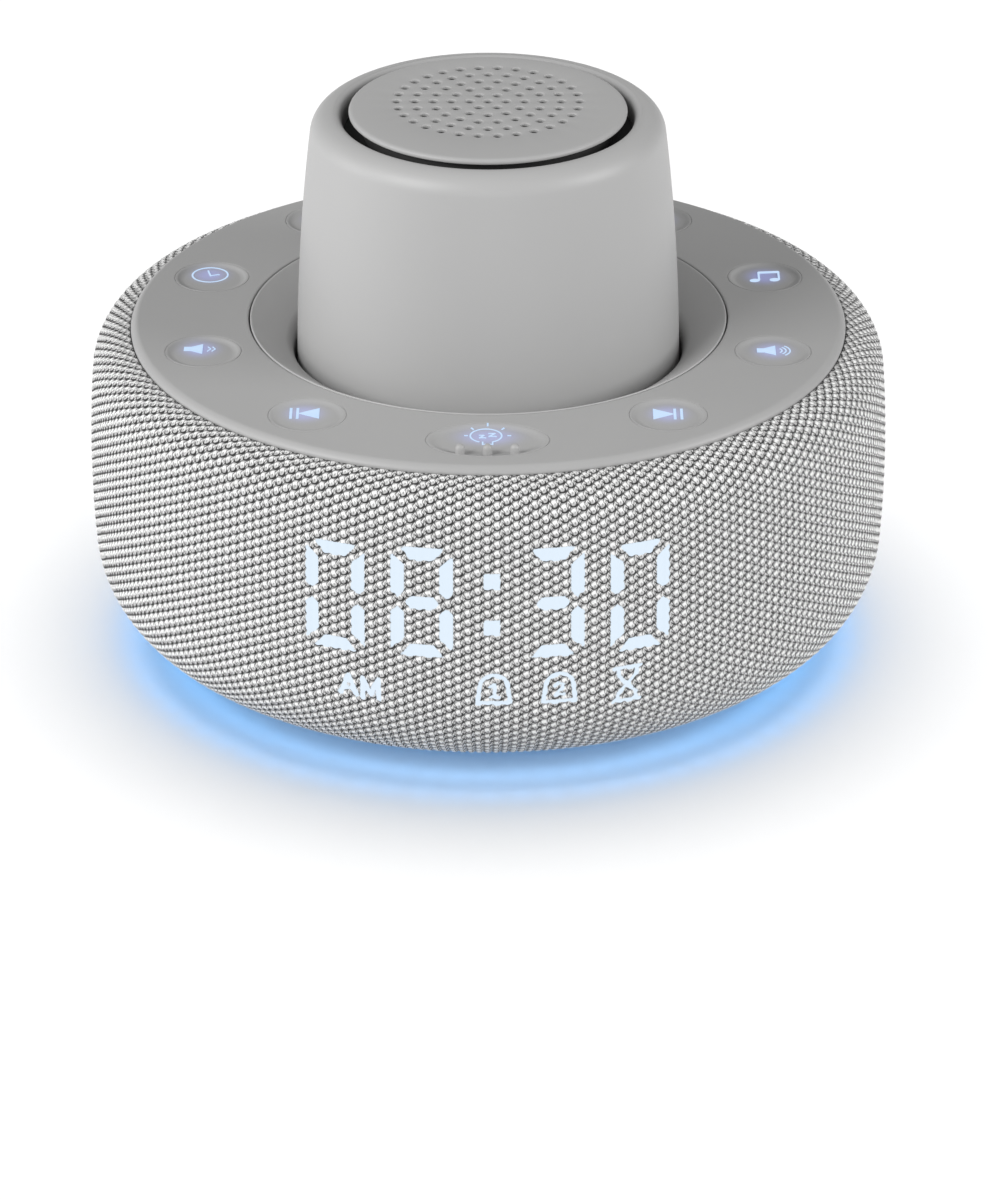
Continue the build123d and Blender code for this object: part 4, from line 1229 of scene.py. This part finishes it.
rib = join_block(bmesh.new(), (-7.7, 36.5, PARTING / MM), (7.7, 38.9, 64.5), 0.3)
key_pocket = join_block(bmesh.new(), (-2.65, 37.4, 55.35), (2.65, 40.0, 60.65))
shell_steps = [("UNION", rib), ("DIFFERENCE", key_pocket)]
skin = machined("shell_work", speaker_shell(), shell_steps)
shell = finish_piece("speaker_skin", skin, "speaker", speaker_plastic)
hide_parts("speaker_shell")

# %% [markdown]
# ## The speaker's foot cap
# The lower moulding turns in under the speaker with a generous corner and meets the rubber
# foot. It is spun like the shell, with the rib that carries the charging contacts.

# %% The cap
CAP_BOTTOM = 38.8 * MM
CAP_CORNER = 7 * MM
CAP_TOP = 53.5 * MM


def foot_cap():
    corner_height = CAP_BOTTOM + CAP_CORNER
    chain = Outline(0, 39.5 * MM).runs((29.15, 39.5), (29.15, 39.0))
    chain.arc((29.35 * MM, 0, CAP_BOTTOM + 0.2 * MM), 90, 3)
    chain.line(SPEAKER_RADIUS - CAP_CORNER, CAP_BOTTOM)
    chain.arc((SPEAKER_RADIUS - CAP_CORNER, 0, corner_height), 90, 16)
    chain.line(SPEAKER_RADIUS, CAP_TOP - JOINT_ROUND)
    chain.arc((SPEAKER_RADIUS - JOINT_ROUND, 0, CAP_TOP - JOINT_ROUND), 90, 4)
    chain.line(SPEAKER_RADIUS - WALL, CAP_TOP).line(SPEAKER_RADIUS - WALL, corner_height)
    mesh = chain.runs((32, 41.8), (0, 41.8)).sweep(192)
    return join_block(mesh, (-7.7, 30, 38.8), (7.7, 38.9, 53.5), 0.3)


cap_mesh = foot_cap()
cap = finish_piece("speaker_foot_cap", cap_mesh, "speaker", speaker_plastic)
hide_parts("speaker_bottom_cap")

# %% [markdown]
# ## The grille
# A thin disc on a narrower skirt, pierced by ninety-one small round holes in rings. The
# face is filled between circles as the panel was, and each hole gets a small rounded mouth,
# because at this size the light on those edges is what makes a perforated sheet look like
# one. The skirt is painted near black as painted shade, so that the disc seems to float in
# its groove.

# %% The perforated disc
GRILLE_RADIUS = 27.4 * MM
GRILLE_TOP = 113.8 * MM
HOLE_RADIUS = 1.0 * MM
HOLE_PITCH = 3.6 * MM
HOLE_OFFSET = 3 * MM  # the pattern sits a little to the rear
DISC_EDGE = [(0.35, 113.77), (0.65, 113.66), (0.88, 113.43), (1.0, 113.1), (0.95, 112.8)]
DISC_EDGE += [(0.7, 112.6), (-1.8, 112.6), (-1.8, 108.6), (-3.0, 108.6), (-3.0, 113.1)]
MOUTH = [(-0.12, 113.77), (-0.2, 113.69), (-0.25, 113.57), (-0.26, 113.4), (-0.26, 113.1)]


def hole_places():
    """The middle, then five rings with six more holes in each."""
    places = [Vector((0, HOLE_OFFSET, 0))]
    for ring_number in range(1, 6):
        for step in range(6 * ring_number):
            turn = 2 * math.pi * step / (6 * ring_number)
            around = Vector((math.cos(turn), math.sin(turn), 0))
            places.append(places[0] + ring_number * HOLE_PITCH * around)
    return places


disc_start = GRILLE_RADIUS - 1 * MM
hole_start = HOLE_RADIUS + 0.22 * MM
grille_loops = [(CENTRE, disc_start, disc_start, 144, DISC_EDGE)]
grille_loops += [(place, hole_start, hole_start, 16, MOUTH) for place in hole_places()]
plate = pierced_plate(GRILLE_TOP, grille_loops)
disc = finish_piece("grille_disc", plate, "speaker", grille_metal)
# The skirt gets a near-black material: painted shade in the groove under the disc's edge.
disc.data.materials.append(satin("grille_painted_shade", 0.05, 0.7))
for face in disc.data.polygons:
    face.material_index = int(face.center.z < 112.55 * MM)
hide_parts("speaker_grille")
print(len(grille_loops) - 1, "holes")

# %% [markdown]
# ## The dock well
# The well is a deep round cup with a flared mouth and a flat-backed keyway at the rear. It
# is joined and cut with booleans, as a mould maker would machine it: a turned body with a
# block for the keyway's housing, less the turned cup, the keyway, a pocket for the contact
# board and a hole for each of its four pins.

# %% The well's solids
WELL_RADIUS = 38.9 * MM
WELL_FLOOR = 38 * MM
WELL_CORNER = 1.2 * MM
FLARE_LOW = 63.9 * MM
FLARE = math.atan2(5.6, 8.4)
LIP = 4 * MM
MOUTH_ROUND = 0.8 * MM


def well_body():
    """The outside of the well, as a solid with no cup yet."""
    chain = Outline(0, 36 * MM).runs((40.9, 36), (40.9, 59.9), (47.3, 65.3), (51.5, 65.3))
    chain.runs((51.5, 67.3), (47.6, 67.3), (47.6, 69.35))
    chain.arc((47.45 * MM, 0, 69.35 * MM), 90, 3).line(0, PANEL_TOP)
    return chain.sweep(192)


def well_cup():
    """What is hollow: the cup, its rounded floor, the rolled lip and the flare."""
    turn = math.pi / 2 - FLARE
    lip_height = FLARE_LOW - LIP * math.tan(turn / 2)
    corner = WELL_RADIUS - WELL_CORNER
    chain = Outline(0, WELL_FLOOR).line(corner, WELL_FLOOR)
    chain.arc((corner, 0, WELL_FLOOR + WELL_CORNER), 90, 5)
    chain.line(WELL_RADIUS, lip_height)
    chain.arc((WELL_RADIUS + LIP, 0, lip_height), -math.degrees(turn), 12)
    over = MOUTH_ROUND * math.tan(FLARE / 2)
    edge = MOUTH_RADIUS + over
    chain.line(MOUTH_RADIUS - over * math.cos(FLARE), PANEL_TOP - over * math.sin(FLARE))
    chain.arc((edge, 0, PANEL_TOP - MOUTH_ROUND), -math.degrees(FLARE), 5)
    chain.line(edge, PANEL_TOP + 5 * MM).line(0, PANEL_TOP + 5 * MM)
    return chain.sweep(192)


# %% Cutting the well
def pin_holes():
    """Four upright rods, where the contact pins come through."""
    mesh = bmesh.new()
    low, high, radius = 30 * MM, 45 * MM, 0.95 * MM
    for step in range(4):
        place = ((step - 1.5) * 2.3 * MM, 35.75 * MM, (low + high) / 2)
        bmesh.ops.create_cone(
            mesh,
            cap_ends=True,
            segments=20,
            radius1=radius,
            radius2=radius,
            depth=high - low,
            matrix=Matrix.Translation(place),
        )
    return mesh


well_steps = [
    ("UNION", join_block(bmesh.new(), (-11.5, 30, 36), (11.5, 44, 65.3))),
    ("DIFFERENCE", well_cup()),
    ("DIFFERENCE", join_block(bmesh.new(), (-9.5, 0, 38), (9.5, 42, 75))),
    ("DIFFERENCE", join_block(bmesh.new(), (-5.35, 30.5, 36.8), (5.35, 41, 45))),
    ("DIFFERENCE", pin_holes()),
]
well_mesh = machined("well_work", well_body(), well_steps)
well = finish_piece("well", well_mesh, "base", well_plastic)
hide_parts("dock_well")

# %% [markdown]
# ## Finishes of the carried-over parts
# The parts inside and underneath keep the shapes that the construction gives them. Each
# slot of the record gets its own material: solder-masked board, tinned steel, gold
# contacts, smoked film, moulded rubber, paper cone and shrink-wrapped cell, so that the
# object also holds up when it is opened.


# %% Kinds of finish
def moulded(name, color, roughness, grain=0.03, scale=1800.0):
    """Plastic, rubber or paper with a grain of some height in millimetres."""
    paint = Paint(name)
    place = paint.place()
    speck = paint.noise(place, scale, 3, 0.6)
    cloud = paint.noise(place, 60, 2)
    return paint.surface(
        Base_Color=paint.mix(cloud, shade(color, 0.9), shade(color)),
        Roughness=roughness + 0.12 * (speck - 0.5),
        Normal=paint.bump(speck, grain * MM, 0.6),
    )


def board_finish(name, mask):
    """Solder mask over a faint copper pattern."""
    paint = Paint(name)
    place = paint.place()
    lane = 14 * paint.noise(place, 130, 0)
    track = 1 - paint.smooth(abs(lane - lane.math("ROUND", lane)), 0.08, 0.16)
    speck = paint.noise(place, 3000, 2)
    return paint.surface(
        Base_Color=paint.mix(track, shade(mask), shade(mask, 1.5, 0.03)),
        Roughness=0.35 + 0.1 * (speck - 0.5),
        Normal=paint.bump(track, 0.04 * MM, 0.5),
    )


def brushed(name, color, roughness):
    """Metal with a fine grain drawn out along Y and Z."""
    paint = Paint(name)
    x, y, z = paint.parts(paint.place())
    grain = {"X": x * 4000, "Y": y * 300, "Z": z * 300}
    speck = paint.noise(paint.node("ShaderNodeCombineXYZ", grain), 1, 3)
    return paint.surface(
        Base_Color=paint.mix(speck, shade(color, 0.85), shade(color)),
        Metallic=1.0,
        Roughness=roughness + 0.15 * (speck - 0.5),
        Normal=paint.bump(speck, 0.01 * MM, 0.5),
    )


def lit(name, color, strength):
    """A lamp's face."""
    paint = Paint(name)
    glow = paint.noise(paint.place(), 200, 2)
    return paint.surface(
        Base_Color=(0.6, 0.6, 0.6, 1),
        Roughness=0.5,
        Emission_Color=paint.mix(glow, shade(color, 0.85), shade(color)),
        Emission_Strength=strength,
    )


# %% Finishes by slot
MADE_BY = {
    "frame_black": (moulded, (0.02, 0.02, 0.021), 0.55),
    "rubber_dark": (moulded, (0.025, 0.025, 0.026), 0.75, 0.05),
    "rubber_grey": (moulded, (0.20, 0.20, 0.20), 0.7, 0.05),
    "board_green": (board_finish, (0.01, 0.09, 0.035)),
    "board_white": (board_finish, (0.62, 0.62, 0.60)),
    "chip_black": (moulded, (0.015, 0.015, 0.016), 0.5, 0.02, 4000.0),
    "steel": (brushed, (0.62, 0.62, 0.60), 0.32),
    "gold": (brushed, (0.83, 0.60, 0.22), 0.28),
    "lamp_white": (lit, (0.80, 0.88, 1.0), 1.0),
    "glow_blue": (lit, (0.10, 0.42, 1.0), 0.3),
    "film_smoke": (moulded, (0.03, 0.03, 0.035), 0.15, 0.005),
    "reflector_white": (moulded, (0.75, 0.75, 0.74), 0.6),
    "cone_black": (moulded, (0.02, 0.02, 0.02), 0.85, 0.08, 900.0),
    "cell_wrap": (moulded, (0.05, 0.13, 0.32), 0.3, 0.01),
}
finishes = {slot: make(slot, *values) for slot, (make, *values) in MADE_BY.items()}
finishes |= {
    "knit_grey": knit,
    "panel_grey": panel_plastic,
    "key_grey": key_plastic,
    "well_grey": well_plastic,
    "speaker_grey": speaker_plastic,
    "grille_grey": grille_metal,
}
for part in frame["record"]["subparts"]:
    carried = nodes[part["node"]]
    carried.data.materials.clear()
    carried.data.materials.append(finishes[part["material_slot"]])
print(len(finishes), "finishes on", len(nodes), "carried-over parts")

# %% [markdown]
# ## The ring of blue light
# The diffuser under the base throws a pool of blue on the table. A lit mesh two millimetres
# above the floor needs many samples to look even, so two rings of small soft lamps do the
# throwing. They light nothing but the floor, and the diffuser only shows its own colour.


# %% Lamps under the rim
def glow_ring(name, reach, power, count=72, height=4 * MM):
    """Small soft lamps in a circle, paler in front, for which only the floor exists."""
    for step in range(count):
        turn = 2 * math.pi * step / count
        paler = max(0.0, -math.sin(turn)) ** 2
        color = (0.10 + 0.22 * paler, 0.46 + 0.14 * paler, 1.0)
        settings = {"color": color, "shadow_soft_size": 1.5 * MM}
        lamp = add_lamp(f"{name}_{step:02d}", "POINT", power, on_floor, **settings)
        lamp.location = (reach * math.cos(turn), reach * math.sin(turn), height)
        lamp.light_linking.blocker_collection = on_floor
    print(name, count, "lamps", round(reach / MM, 1), "mm out")


glow_ring("inner_glow", 65.5 * MM, 0.00029)
glow_ring("outer_glow", 73 * MM, 0.00023)
